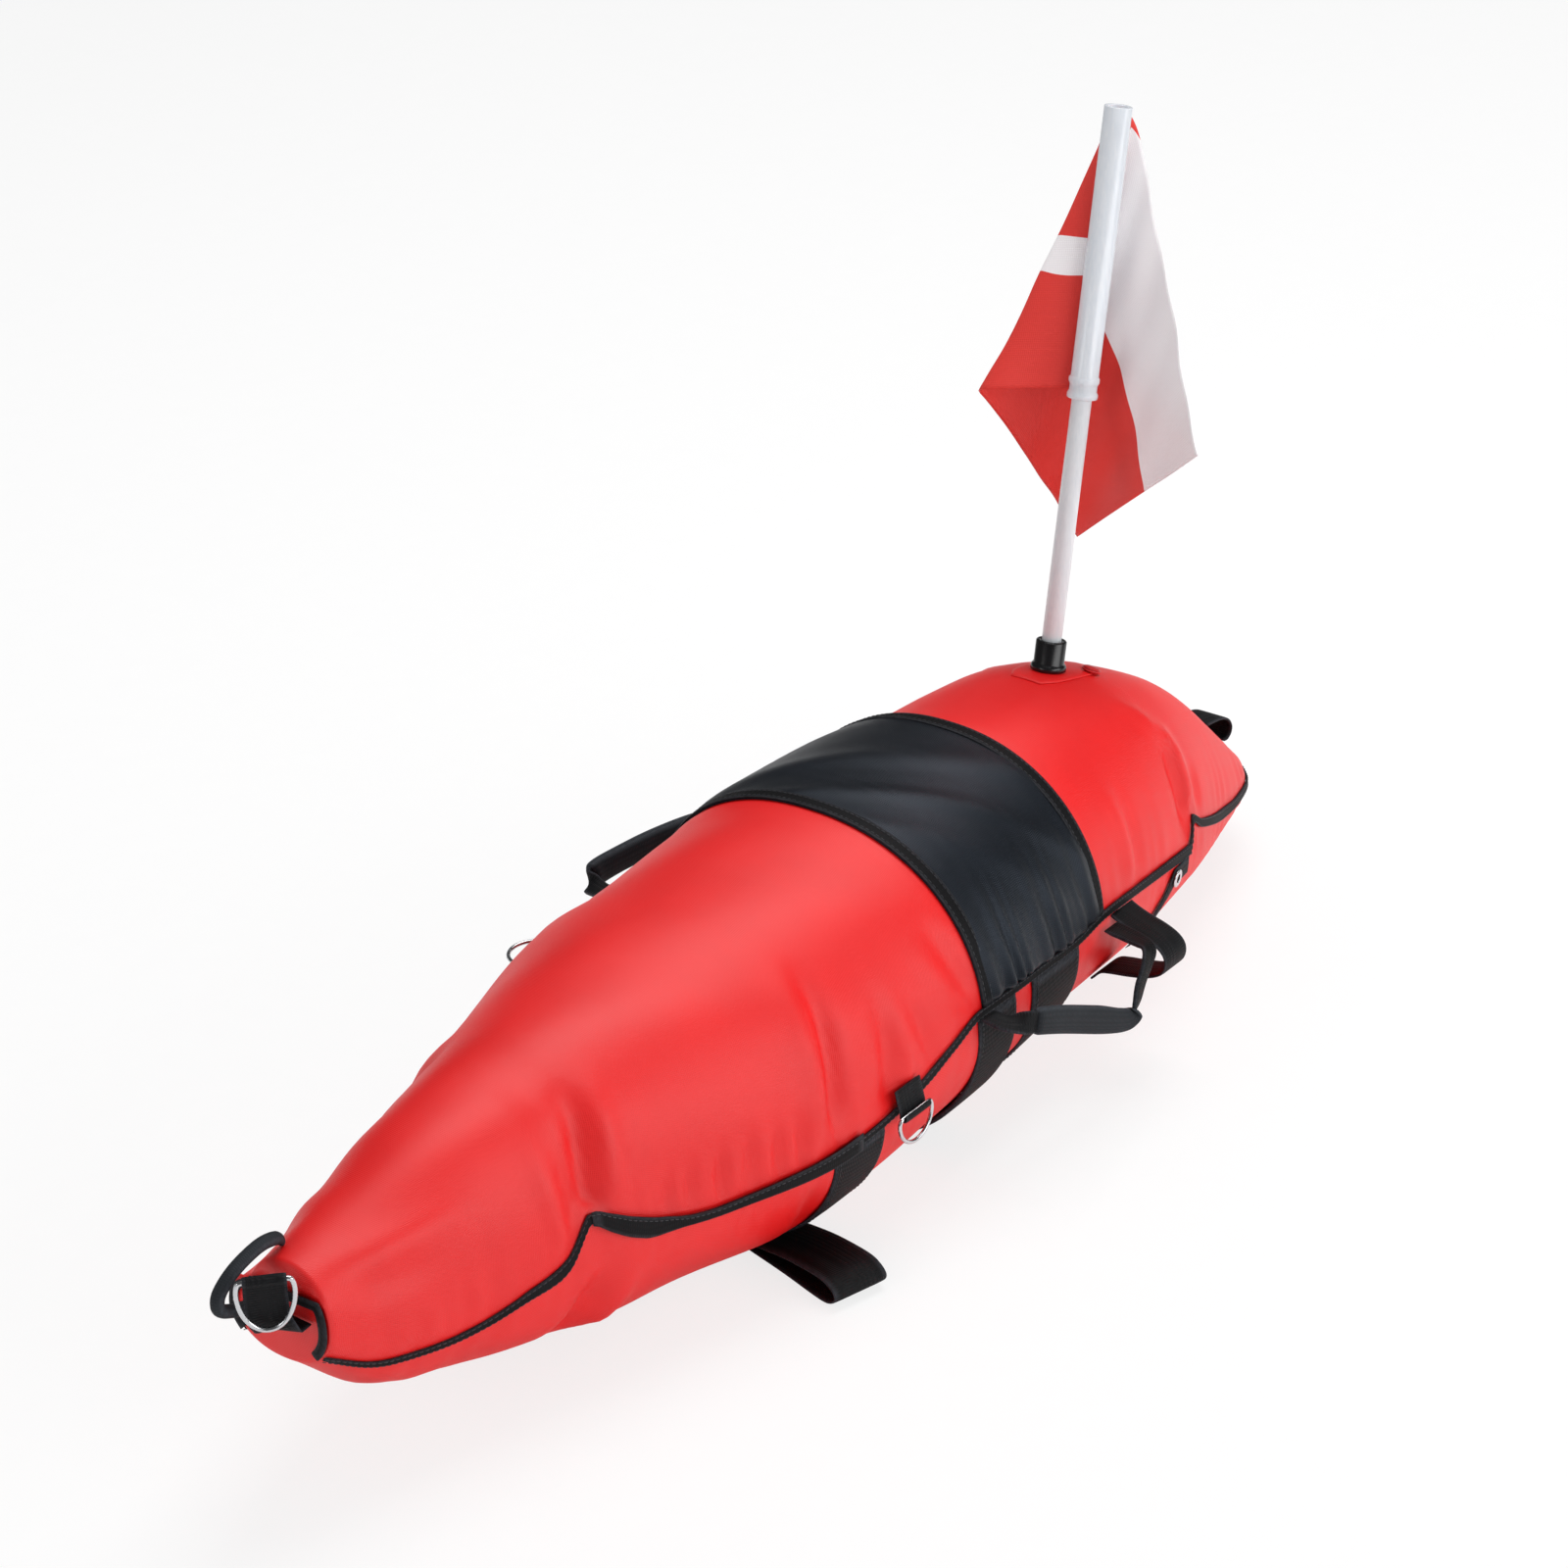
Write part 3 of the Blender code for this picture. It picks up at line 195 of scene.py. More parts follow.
def hull(x, deg, lift=0.0):
    """Points on the inflated body: 0 degrees is the near side, 90 the top, 180 the far side."""
    x, deg = np.broadcast_arrays(np.asarray(x, float), np.asarray(deg, float))
    half, mid, top, low = [ease(x, HULL_X, t) for t in (HULL_HALF, HULL_MID, HULL_TOP, HULL_LOW)]
    power = 2 / SECTION_POWER

    def flat(angle):
        c, s = np.cos(np.radians(angle)), np.sin(np.radians(angle))
        reach = np.where(s >= 0, top, 2 * mid - low) - mid
        up = mid + reach * np.sign(s) * np.abs(s) ** power
        return -half * np.sign(c) * np.abs(c) ** power, np.maximum(up, KEEL_HEIGHT)
    y, z = flat(deg)
    for middle, spread, drawn in ((SHOULDER_DEG, SHOULDER_SPREAD, FAR_SHOULDER),
                                  (BILGE_DEG, BILGE_SPREAD, NEAR_BILGE)):
        off = (deg - middle + 180) % 360 - 180
        lift = lift - ease(x, DRAWN_X, drawn) * np.exp(-(off / spread) ** 2)
    (y1, z1), (y0, z0) = flat(deg + 0.5), flat(deg - 0.5)
    size = np.hypot(y1 - y0, z1 - z0) + FINE
    return np.stack([x, y - (z1 - z0) / size * lift, z + (y1 - y0) / size * lift], -1)


def piece(name, points, faces, finish, body, nodes, uv=None, edge=None):
    """A closed mesh that takes the place of CAD nodes and moves with a body; edge says where it is rubbed."""
    data = bpy.data.meshes.new(name)
    points = np.asarray(points, float).reshape(-1, 3) + (AFT, 0, 0)
    data.from_pydata(points.tolist(), [], faces)
    data.update()
    if uv is not None:
        layer = data.uv_layers.new(name="cloth")
        index = np.zeros(len(data.loops), int)
        data.loops.foreach_get("vertex_index", index)
        layer.data.foreach_set("uv", np.asarray(uv, np.float32).reshape(-1, 2)[index].ravel())
    if edge is not None:
        worn = data.attributes.new("edge", "FLOAT", "POINT")
        worn.data.foreach_set("value", np.asarray(edge, np.float32).ravel())
    data.polygons.foreach_set("use_smooth", [True] * len(data.polygons))
    data.materials.append(finish[0])
    made = put(name, data)
    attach(made, body)
    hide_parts(*nodes)
    return made


def new_finish(name, slot, colour, **values):
    """A material with its slot; what is the same all over it is set on the shader itself."""
    made = bpy.data.materials.new(name)
    made.use_nodes = True
    shader = made.node_tree.nodes["Principled BSDF"]
    shader.inputs["Base Color"].default_value = linear(colour)
    for socket, value in values.items():
        shader.inputs[socket.replace("_", " ")].default_value = value
    return (made, slot), made.node_tree, shader


def grained(name, slot, colour, scale, detail=2.0, bump=None, tints=None, cloud=None, drawn=None, dulls=None,
            **values):
    """A finish with a fine noise, scale grains to the metre.

    The noise gives its relief (bump, as depth and strength), its two tints, or the limits of its
    roughness (dulls). The tints follow a coarser noise if cloud gives its scale, and drawn is the
    scale along a part that is drawn out.
    """
    made, tree, shader = new_finish(name, slot, colour, **values)
    place = add(tree, "ShaderNodeTexCoord").outputs["Object"]
    if drawn:
        place, scale = add(tree, "ShaderNodeMapping", {"Vector": place, "Scale": (scale, scale, drawn)}), 1.0
    grain = add(tree, "ShaderNodeTexNoise", {"Vector": place, "Scale": scale, "Detail": detail})
    if bump:
        relief = add(tree, "ShaderNodeBump", {"Height": grain, "Distance": bump[0], "Strength": bump[1]})
        tree.links.new(relief.outputs[0], shader.inputs["Normal"])
    if dulls:
        rough = add(tree, "ShaderNodeMapRange", {0: grain, 3: dulls[0], 4: dulls[1]})
        tree.links.new(rough.outputs[0], shader.inputs["Roughness"])
    if cloud:
        grain = add(tree, "ShaderNodeTexNoise", {"Vector": place, "Scale": cloud, "Detail": detail})
    if tints:
        tint = add(tree, "ShaderNodeMix", {0: grain, 6: linear(tints[0]), 7: linear(tints[1])},
                   data_type="RGBA")
        tree.links.new(tint.outputs[2], shader.inputs["Base Color"])
    return made


# Polyurethane film: milky, with a soft gloss and faint creases about 17 mm apart.
film = grained("polyurethane_film", "bladder_film", "D9DCDF", 60.0, 3.0, (0.0006, 0.6), ("C9CCD0", "E6E8EA"),
               Roughness=0.35, IOR=1.5)

BLADDER_LIFT, BLADDER_THICK, BLADDER_END = -0.0085, 0.0008, 0.006
BAG_FRONT, BAG_REAR, BAG_EDGE = -0.361, 0.43, (0.006, 0.005)
bag_x = np.linspace(BAG_FRONT + BAG_EDGE[0], BAG_REAR - BAG_EDGE[1], 60)
bag_x = np.concatenate([[BAG_FRONT], bag_x, [BAG_REAR]])[:, None]
bag_deg = np.arange(48)[None, :] * 7.5


def bag(lift):
    """Rings of the bag, drawn in towards a flat end front and rear."""
    rings = hull(bag_x, bag_deg, lift)
    ends = []
    for ring, way in ((rings[0], -1), (rings[-1], 1)):
        middle = ring.mean(0)
        for step, share in ((0.5, 0.8), (1.0, 0.3)):
            made = middle + (ring - middle) * share
            made[:, 0] = ring[0, 0] + way * step * BLADDER_END
            ends.append(made)
    return np.concatenate([[ends[1], ends[0]], rings, [ends[2], ends[3]]])


def stacked(*grids):
    """The points of grids, one grid after the other."""
    return np.concatenate([grid.reshape(-1, 3) for grid in grids])


def ring_faces(rows, cols, start=0, flip=False, closed=False):
    """Faces of a tube of rings; flip turns them inwards, closed joins the last ring to the first."""
    made = []
    for i in range(rows - (0 if closed else 1)):
        for j in range(cols):
            a, b = i * cols + j, i * cols + (j + 1) % cols
            c, d = (i + 1) % rows * cols + (j + 1) % cols, (i + 1) % rows * cols + j
            made.append(tuple(start + k for k in ((a, b, c, d) if flip else (d, c, b, a))))
    return made


outer_bag, inner_bag = bag(BLADDER_LIFT), bag(BLADDER_LIFT - BLADDER_THICK)
bag_rows, bag_cols = outer_bag.shape[:2]
inside = bag_rows * bag_cols
last_ring = (bag_rows - 1) * bag_cols
bag_faces = ring_faces(bag_rows, bag_cols) + ring_faces(bag_rows, bag_cols, inside, True)
bag_faces += [tuple(range(bag_cols)), tuple(range(last_ring, last_ring + bag_cols))[::-1],
              tuple(range(inside, inside + bag_cols))[::-1],
              tuple(range(inside + last_ring, inside + last_ring + bag_cols))]
piece("film_bladder", stacked(outer_bag, inner_bag), bag_faces, film, "hull", ["bladder"])

# Covers: two halves of coated nylon, cut and sewn together at the side seam and blown tight
# by the bladder. The seam gathers the cloth, so short puckers run up from it, and longer
# folds start where the seam turns.
COVER_THICK, GAP = 0.0012, 0.0003
BAND_FRONT, BAND_REAR = 0.058, 0.19


def weave_finish(name, slot, low, high, pitch, depth, ribs=False, worn=None, **values):
    """Cloth with threads across and along its UV map in metres; worn is the colour of its rubbed edges."""
    made, tree, shader = new_finish(name, slot, high, **values)
    chart = add(tree, "ShaderNodeUVMap", uv_map="cloth")
    place = add(tree, "ShaderNodeTexCoord").outputs["Object"]
    warp, weft = [add(tree, "ShaderNodeTexWave", {"Vector": chart, "Scale": math.pi / 10 / spacing,
                                                  "Distortion": 0.3, "Detail": 1.0, "Detail Scale": 0.2},
                      bands_direction=way).outputs["Fac"]
                  for way, spacing in (("X", pitch), ("Y", pitch * 2 if ribs else pitch))]
    cloud = add(tree, "ShaderNodeTexNoise", {"Vector": place, "Scale": 22.0, "Detail": 4.0})
    lint = add(tree, "ShaderNodeTexNoise", {"Vector": place, "Scale": 420.0, "Detail": 2.0})
    threads = add(tree, "ShaderNodeMath", {0: warp, 1: weft}, operation="MULTIPLY" if ribs else "ADD")
    fuzz = add(tree, "ShaderNodeMath", {0: lint, 1: 0.5, 2: threads}, operation="MULTIPLY_ADD")
    relief = add(tree, "ShaderNodeBump", {"Height": fuzz, "Distance": depth, "Strength": 1.0})
    tree.links.new(relief.outputs[0], shader.inputs["Normal"])
    shade = add(tree, "ShaderNodeMath", {0: threads, 1: 0.25, 2: cloud}, operation="MULTIPLY_ADD")
    share = add(tree, "ShaderNodeMapRange", {0: shade, 1: 0.35, 2: 1.0})
    tint = add(tree, "ShaderNodeMix", {0: share, 6: linear(low), 7: linear(high)}, data_type="RGBA")
    if worn:
        rim = add(tree, "ShaderNodeAttribute", attribute_name="edge").outputs["Fac"]
        rubbed = add(tree, "ShaderNodeMath", {0: rim, 1: lint}, operation="MULTIPLY")
        tint = add(tree, "ShaderNodeMix", {0: rubbed, 6: tint.outputs[2], 7: linear(worn)}, data_type="RGBA")
    tree.links.new(tint.outputs[2], shader.inputs["Base Color"])
    return made


# Coated nylon: plain weave under a thin polyurethane coat, so it is satin and hardly rough.
# Its threads are 0.3 mm apart; they are drawn at 1.1 mm, the finest that the render shows.
red_nylon = weave_finish("coated_nylon_red", "red_nylon", "E0090A", "EC1011", 0.0011, 0.00005, Roughness=0.45,
                         Specular_IOR_Level=0.55)

# Folds as (station, angle) at both ends, then width and height; a valley has a height below 0.
NEAR_FOLDS = [
    (-0.218, 60, -0.233, 10, 0.0080, -0.0078), (-0.203, 58, -0.219, 12, 0.008, 0.0030),
    (-0.238, 50, -0.243, 10, 0.007, -0.0036), (-0.252, 48, -0.254, 6, 0.008, 0.0022),
    (-0.052, 54, -0.073, 0, 0.0075, -0.0076), (-0.066, 52, -0.089, 3, 0.009, 0.0030),
    (-0.017, 34, -0.028, 1, 0.007, -0.0045), (-0.006, 30, -0.012, 2, 0.006, 0.0018),
    (0.001, 26, 0.012, 3, 0.006, -0.0030), (0.036, 42, 0.050, 12, 0.007, -0.0030),
    (0.022, 38, 0.034, 8, 0.007, 0.0016), (0.230, 42, 0.229, 6, 0.007, 0.0022),
    (0.243, 40, 0.242, 6, 0.006, -0.0022), (0.296, 64, 0.321, 38, 0.009, 0.0034),
    (0.312, 46, 0.311, 8, 0.0065, -0.0052), (0.324, 50, 0.325, 14, 0.007, 0.0034),
    (-0.392, 52, -0.300, 40, 0.010, 0.0022), (-0.388, 30, -0.330, 26, 0.009, -0.0020),
    (-0.309, 14, -0.304, -6, 0.004, 0.0014), (-0.335, 8, -0.335, -8, 0.004, 0.0012),
    (-0.226, -2, -0.242, -50, 0.0095, -0.0075), (-0.207, -4, -0.220, -50, 0.008, 0.0032),
    (-0.091, -6, -0.082, -40, 0.008, -0.0032), (0.338, 30, 0.342, 12, 0.006, -0.0026),
    (-0.352, 96, -0.340, 150, 0.012, 0.0024), (-0.390, -60, -0.330, -66, 0.020, 0.0040),
    (0.360, 88, 0.415, 86, 0.020, 0.0020), (0.432, 92, 0.478, 88, 0.018, -0.0050),
    (-0.184, 16, -0.187, 0, 0.0040, -0.0036), (-0.169, 17, -0.172, 0, 0.0040, -0.0036),
    (-0.149, 16, -0.151, 0, 0.0042, -0.0040), (-0.131, 17, -0.133, 0, 0.0040, -0.0038),
    (-0.112, 15, -0.114, 0, 0.0042, -0.0040), (-0.098, 14, -0.099, 0, 0.0038, -0.0034),
]
FOLD_STEPS, FOLD_START, FOLD_END, FOLD_END_SHARE = 36, 2.2, 6, 0.35
PUCKER_HIGH, PUCKER_REACH, PUCKER_PITCH, PUCKER_MEAN_SHARE = 0.0020, 0.016, 0.0150, 0.45
UNEVEN_HIGH, SEAM_HOLD, END_FADE, BAND_FADE, BAND_PRESS = 0.0007, 0.006, 0.03, 0.006, 0.0003
SOCKET_X, SOCKET_REACH, SOCKET_REACH_DEG = 0.30, 0.035, 16
FAR_FOLDS = [(x0, 180 - a0, x1, 180 - a1, w, h)
             for x0, a0, x1, a1, w, h in NEAR_FOLDS[:16] + NEAR_FOLDS[20:24]]


def seam_gap(x, deg):
    """Length round the body from a point to the nearer seam."""
    line = seam(x)
    near = np.abs(((deg - line) + 180) % 360 - 180)
    far = np.abs(((deg - 180 + line) + 180) % 360 - 180)
    return np.radians(np.minimum(near, far)) * ease(x, HULL_X, HULL_HALF)


def ripple(x, pitch, phase):
    """Uneven waves along the body, from 0 to 1."""
    turn = 2 * np.pi * x / pitch
    return (1 + np.sin(turn + phase + 1.7 * np.sin(turn * 0.23 + phase)) * np.cos(turn * 0.13 + 2 * phase)) / 2


def cloth_relief(x, deg):
    """How far the cover's cloth stands out of its plain shape."""
    spots = hull(x, deg)
    off_seam = seam_gap(x, deg)
    relief = np.zeros(off_seam.shape)
    shares = np.linspace(0, 1, FOLD_STEPS)
    swell = np.clip(shares * FOLD_START, 0, 1) * np.clip((1 - shares) * FOLD_END, FOLD_END_SHARE, 1)
    for x0, a0, x1, a1, width, height in NEAR_FOLDS + FAR_FOLDS:
        line = hull(x0 + (x1 - x0) * shares, a0 + (a1 - a0) * shares)
        close = np.abs(spots[..., 0] - (x0 + x1) / 2) < abs(x1 - x0) / 2 + 3 * width
        gap2 = ((spots[close][:, None, :] - line[None]) ** 2).sum(-1)
        relief[close] += height * (np.exp(-gap2 / width ** 2) * swell[None]).max(1)
    side = np.where(np.abs(deg) > 90, 1.0, 0.0)
    puckers = ripple(x, PUCKER_PITCH, 0.4 + side) - PUCKER_MEAN_SHARE
    relief += PUCKER_HIGH * np.exp(-off_seam / PUCKER_REACH) * puckers
    relief += UNEVEN_HIGH * np.sin(x * 31 + deg * 0.05) * np.sin(x * 17 + deg * 0.09 + 1)
    relief *= 1 - np.exp(-(off_seam / SEAM_HOLD) ** 2)
    ends = np.clip(np.minimum(x - BOW, STERN - x) / END_FADE, 0, 1)
    in_band = np.minimum(x - BAND_FRONT + BAND_FADE, BAND_REAR + BAND_FADE - x) / BAND_FADE
    banded = np.clip(in_band, 0, 1) * (deg > 0) * (deg < 180)
    socket = np.exp(-(((x - SOCKET_X) / SOCKET_REACH) ** 2 + ((deg - 90) / SOCKET_REACH_DEG) ** 2) ** 2)
    return relief * ends * (1 - banded) * (1 - socket) - BAND_PRESS * banded


def grid_faces(rows, cols, holes=()):
    """Outer cells, inner cells and rims of a shell that is two grids of points."""
    total = rows * cols
    cells = [(i * cols + j, i * cols + j + 1, (i + 1) * cols + j + 1, (i + 1) * cols + j)
             for i in range(rows - 1) for j in range(cols - 1) if (i, j) not in holes]
    skins = [c[::-1] for c in cells]
    sides = {(f[k], f[(k + 1) % 4]) for f in skins for k in range(4)}
    rims = [(b, a, a + total, b + total) for a, b in sorted(sides) if (b, a) not in sides]
    return skins + [tuple(v + total for v in f[::-1]) for f in skins] + rims


def chart_of(grid):
    """UV in metres: lengths along both ways of a grid of points."""
    down = np.linalg.norm(np.diff(grid, axis=0), axis=-1)
    along = np.linalg.norm(np.diff(grid, axis=1), axis=-1)
    u = np.concatenate([np.zeros((1, grid.shape[1])), np.cumsum(down, 0)])
    v = np.concatenate([np.zeros((grid.shape[0], 1)), np.cumsum(along, 1)], 1)
    return np.stack([u, v], -1)


def shell(name, outer, inner, finish, nodes, holes=()):
    """A sheet on the hull with its two faces given as grids of points."""
    rows, cols = outer.shape[:2]
    chart = chart_of(outer)
    rim = np.zeros((rows, cols))
    rim[:2], rim[-2:], rim[:, :2], rim[:, -2:] = 1, 1, 1, 1
    return piece(name, stacked(outer, inner), grid_faces(rows, cols, holes), finish, "hull", nodes,
                 np.concatenate([chart.reshape(-1, 2)] * 2), np.concatenate([rim.ravel()] * 2))


COVER_ROWS, COVER_COLUMNS, NOSE_ROWS, TAIL_SHARES = 250, 72, 13, (0.75, 0.5, 0.25, 0.0)
BOW_TURN, BOW_INSET, BOW_BULGE, FACET_SHARE, TAIL_BULGE = 0.0015, 0.0022, 0.0006, 3 / 12, 0.0015
VALVE_AT, VALVE_HOLE = np.array([0.3160, -0.0130, 0.1769]), 0.0042
tail_line = hull(STERN, seam(STERN))[2]


def valve_cells(outer):
    """Cells of a grid of points that the valve comes through."""
    middle = (outer[:-1, :-1] + outer[1:, 1:]) / 2
    return {tuple(c) for c in np.argwhere(np.linalg.norm(middle - VALVE_AT, axis=-1) < VALVE_HOLE)}


def cover(name, upper, node):
    """Half of the cover: rows round the body from seam to seam, with its flat bow and closed tail."""
    edge = GAP / 2 if upper else -GAP / 2
    shares = np.linspace(0, 1, COVER_COLUMNS + 1)[None, :]

    def degrees(x):
        if upper:
            low = (seam(x) + wide_deg(x, GAP / 2))[:, None]
            return low + (180 - 2 * low) * shares
        high = (seam(x) - wide_deg(x, GAP / 2))[:, None]
        return high - (180 + 2 * high) * shares

    def turn(share, inset):
        low = seam(BOW) + wide_deg(np.array(BOW), GAP / 2)
        return hull(BOW, low + (180 - 2 * low) * share, -inset)

    def layer(inset):
        x = np.linspace(BOW, STERN, COVER_ROWS)
        x[0] += inset
        x[-1] -= inset
        deg = degrees(x)
        rows = hull(x[:, None], deg, cloth_relief(x[:, None] + 0 * deg, deg) - inset)
        front = BOW - BOW_TURN + inset
        if upper:
            rim = turn(shares[0], BOW_INSET)
            line = turn(FACET_SHARE, BOW_INSET)[2]
            nose = np.stack([np.full(len(rim), front), rim[:, 1], np.minimum(rim[:, 2], line)], -1)[None]
        else:
            nose = []
            outline = rows[0]
            for j in np.linspace(1, 0, NOSE_ROWS):
                side = turn(FACET_SHARE * j, BOW_INSET + GAP)
                bulge = BOW_BULGE * np.sin(np.pi * shares[0]) * math.sin(math.pi * j * 0.75)
                height = side[2] - (GAP if j == 1 else 0) + (outline[:, 2] - outline[0, 2]) * (1 - j)
                nose.append(np.stack([front - bulge, outline[:, 1] * side[1] / outline[0, 1], height], -1))
            nose = np.array(nose)
        tail = []
        for share in TAIL_SHARES:
            closing = rows[-1].copy()
            closing[:, 0] += TAIL_BULGE * (1 - share)
            closing[:, 2] = tail_line + edge + (closing[:, 2] - tail_line - edge) * share
            tail.append(closing)
        grid = np.concatenate([nose, rows, np.array(tail)])
        return grid if upper else grid[:, ::-1]

    outer, inner = layer(0.0), layer(COVER_THICK)
    shell(name, outer, inner, red_nylon, [node], valve_cells(outer) if upper else ())


cover("upper_cover", True, "cover_upper")
cover("lower_cover", False, "cover_lower")

# Seam tapes: narrow black tape folded over the raw edges of the side seam and sewn through,
# and a wider one over the closing that the bladder goes in by. A domed tape reads as the
# rolled edge that the real one has. Stitches of 0.6 mm thread are 2.7 mm long, 3.6 mm apart.
BINDING_LIFT, BINDING_THICK, BINDING_HALF = 0.0006, 0.0015, 0.0021
EDGE_SHARES = (0.35, 0.85)

# Polyester tape: matt grosgrain with ribs across it, a little grey where its edges rub.
black_tape = weave_finish("polyester_tape_black", "black_tape", "08080A", "141417", 0.0016, 0.00012,
                          ribs=True, worn="3A3B40", Roughness=0.62, Specular_IOR_Level=0.15)


def laid(name, x, deg, lift, thick, finish, nodes, relief=0.0, holes=None):
    """Cloth or webbing that lies on the body over a grid of stations and angles, its edges rounded."""
    rows, cols = deg.shape
    round_off = np.ones((rows, cols))
    for k, share in enumerate(EDGE_SHARES):
        for cut in (np.s_[k, :], np.s_[rows - 1 - k, :], np.s_[:, k], np.s_[:, cols - 1 - k]):
            round_off[cut] = np.minimum(round_off[cut], share)
    outer = hull(x, deg, lift + thick * round_off + relief)
    inner = hull(x, deg, lift + relief / 2)
    return shell(name, outer, inner, finish, nodes, holes(outer) if holes else ())


def tape_angles(centre, half, far):
    """Angles across a tape that follows the seam: close together at its edges."""
    deg = centre[:, None] + half[:, None] * np.array([-1, -0.9, -0.6, 0, 0.6, 0.9, 1.0])
    return 180 - deg[:, ::-1] if far else deg


seam_x = np.linspace(BOW, STERN, COVER_ROWS)
for side, far in (("near", False), ("far", True)):
    deg = tape_angles(seam(seam_x), wide_deg(seam_x, BINDING_HALF), far)
    laid(f"seam_tape_{side}", seam_x[:, None], deg, BINDING_LIFT, BINDING_THICK, black_tape,
         [f"seam_binding_{side}"])

CLOSING_THICK = 0.0012
CLOSING_X = [-0.235, -0.228, -0.215, -0.204, -0.190, -0.178, -0.160, -0.135, -0.10, -0.055]
CLOSING_HALVES = [0.0028, 0.0038, 0.0044, 0.0042, 0.0033, 0.0025, 0.0024, 0.0030, 0.0044, 0.0055]
CLOSING_DROPS = [0.0, 0.0004, 0.0006, 0.0004, 0.0, 0.0, 0.0, 0.0, 0.0, 0.0]
CLOSING_LIFT = BINDING_LIFT + BINDING_THICK + GAP
closing_x = np.linspace(CLOSING_X[0], CLOSING_X[-1], 60)
closing_half = wide_deg(closing_x, ease(closing_x, CLOSING_X, CLOSING_HALVES))
closing_line = seam(closing_x) - wide_deg(closing_x, ease(closing_x, CLOSING_X, CLOSING_DROPS))
laid("closing_flap_tape", closing_x[:, None], tape_angles(closing_line, closing_half, False),
     CLOSING_LIFT, CLOSING_THICK, black_tape, ["closing_tape"])

# Bonded thread: smooth, a little glossy, lighter where its twist catches the light.
black_thread = grained("bonded_thread_black", "black_tape", "26272B", 800.0, tints=("18191C", "3C3E44"),
                       Roughness=0.4)

STITCH_PITCH, STITCH_LONG, THREAD_RADIUS = 0.0036, 0.0027, 0.00028
stitch_tree = bpy.data.node_groups.new("stitch_run", "GeometryNodeTree")
for socket, kind in (("Seam line", "NodeSocketGeometry"), ("Pitch", "NodeSocketFloat"),
                     ("Stitch length", "NodeSocketFloat"), ("Thread radius", "NodeSocketFloat"),
                     ("Thread", "NodeSocketMaterial")):
    stitch_tree.interface.new_socket(name=socket, in_out="INPUT", socket_type=kind)
stitch_tree.interface.new_socket(name="Stitches", in_out="OUTPUT", socket_type="NodeSocketGeometry")
given = add(stitch_tree, "NodeGroupInput").outputs
line = add(stitch_tree, "GeometryNodeMeshToCurve", {"Mesh": given["Seam line"]})
spaced = add(stitch_tree, "GeometryNodeResampleCurve", {"Curve": line, "Length": given["Pitch"]},
             mode="LENGTH")
along = add(stitch_tree, "GeometryNodeInputTangent")
lie = add(stitch_tree, "FunctionNodeAlignRotationToVector", {"Vector": along}, axis="Z")
bead = add(stitch_tree, "GeometryNodeMeshUVSphere", {"Segments": 6, "Rings": 5, "Radius": 1.0})
half = add(stitch_tree, "ShaderNodeMath", {0: given["Stitch length"], 1: 0.5}, operation="MULTIPLY")
size = add(stitch_tree, "ShaderNodeCombineXYZ", {0: given["Thread radius"], 1: given["Thread radius"],
                                                 2: half})
row = add(stitch_tree, "GeometryNodeInstanceOnPoints",
          {"Points": spaced, "Instance": bead, "Rotation": lie, "Scale": size})
real = add(stitch_tree, "GeometryNodeRealizeInstances", {"Geometry": row})
soft = add(stitch_tree, "GeometryNodeSetShadeSmooth", {0: real})
done = add(stitch_tree, "GeometryNodeSetMaterial", {"Geometry": soft, "Material": given["Thread"]})
add(stitch_tree, "NodeGroupOutput", {"Stitches": done})


def stitches(name, lines):
    """Rows of stitches on the hull along lines of points, made a plain mesh."""
    points, edges = [], []
    for run in lines:
        start = len(points)
        points += (np.asarray(run, float) + (AFT, 0, 0)).tolist()
        edges += [(k, k + 1) for k in range(start, len(points) - 1)]
    data = bpy.data.meshes.new(name + "_line")
    data.from_pydata(points, edges, [])
    guide = put(name + "_line", data)
    modifier = guide.modifiers.new("stitches", "NODES")
    modifier.node_group = stitch_tree
    values = {"Pitch": STITCH_PITCH, "Stitch length": STITCH_LONG, "Thread radius": THREAD_RADIUS,
              "Thread": black_thread[0]}
    for item in stitch_tree.interface.items_tree:
        if item.name in values:
            modifier[item.identifier] = values[item.name]
    ready = guide.evaluated_get(bpy.context.evaluated_depsgraph_get())
    made = put(name, bpy.data.meshes.new_from_object(ready))
    bpy.data.objects.remove(guide)
    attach(made, "hull")


STITCH_OFF, CLOSING_STITCH_SHARE = 0.0017, 0.62
runs = []
for far in (False, True):
    for shift in (-STITCH_OFF, STITCH_OFF):
        deg = seam(seam_x) + wide_deg(seam_x, shift)
        runs.append(hull(seam_x, 180 - deg if far else deg, BINDING_LIFT + BINDING_THICK))
runs.append(hull(closing_x, closing_line + closing_half * CLOSING_STITCH_SHARE, CLOSING_LIFT + CLOSING_THICK))
stitches("seam_stitches", runs)

# Centre band: a saddle of thin black nylon over the middle, hemmed front and rear and caught
# in the side seams, where the handles pull it into upright puckers.
BAND_MARGIN, BAND_THICK, HEM_THICK, HEM_WIDE = BINDING_HALF + GAP, 0.0008, 0.0007, 0.010
BAND_COLUMNS, HEM_STITCH_SHARES = 150, (0.22, 0.78)
# Where the rows of narrow webbing lie across it: close together at its rounded edges.
NARROW_SHARES = np.array([0, 0.06, 0.25, 0.5, 0.75, 0.94, 1.0])

# Calendered nylon: the fine cloth is pressed smooth, so it has a broad bluish sheen.
black_nylon = weave_finish("calendered_nylon_black", "black_nylon", "0B0D11", "161A20", 0.0012, 0.00006,
                           Roughness=0.40, Specular_IOR_Level=0.4, Specular_Tint=linear("C4D2E6"))


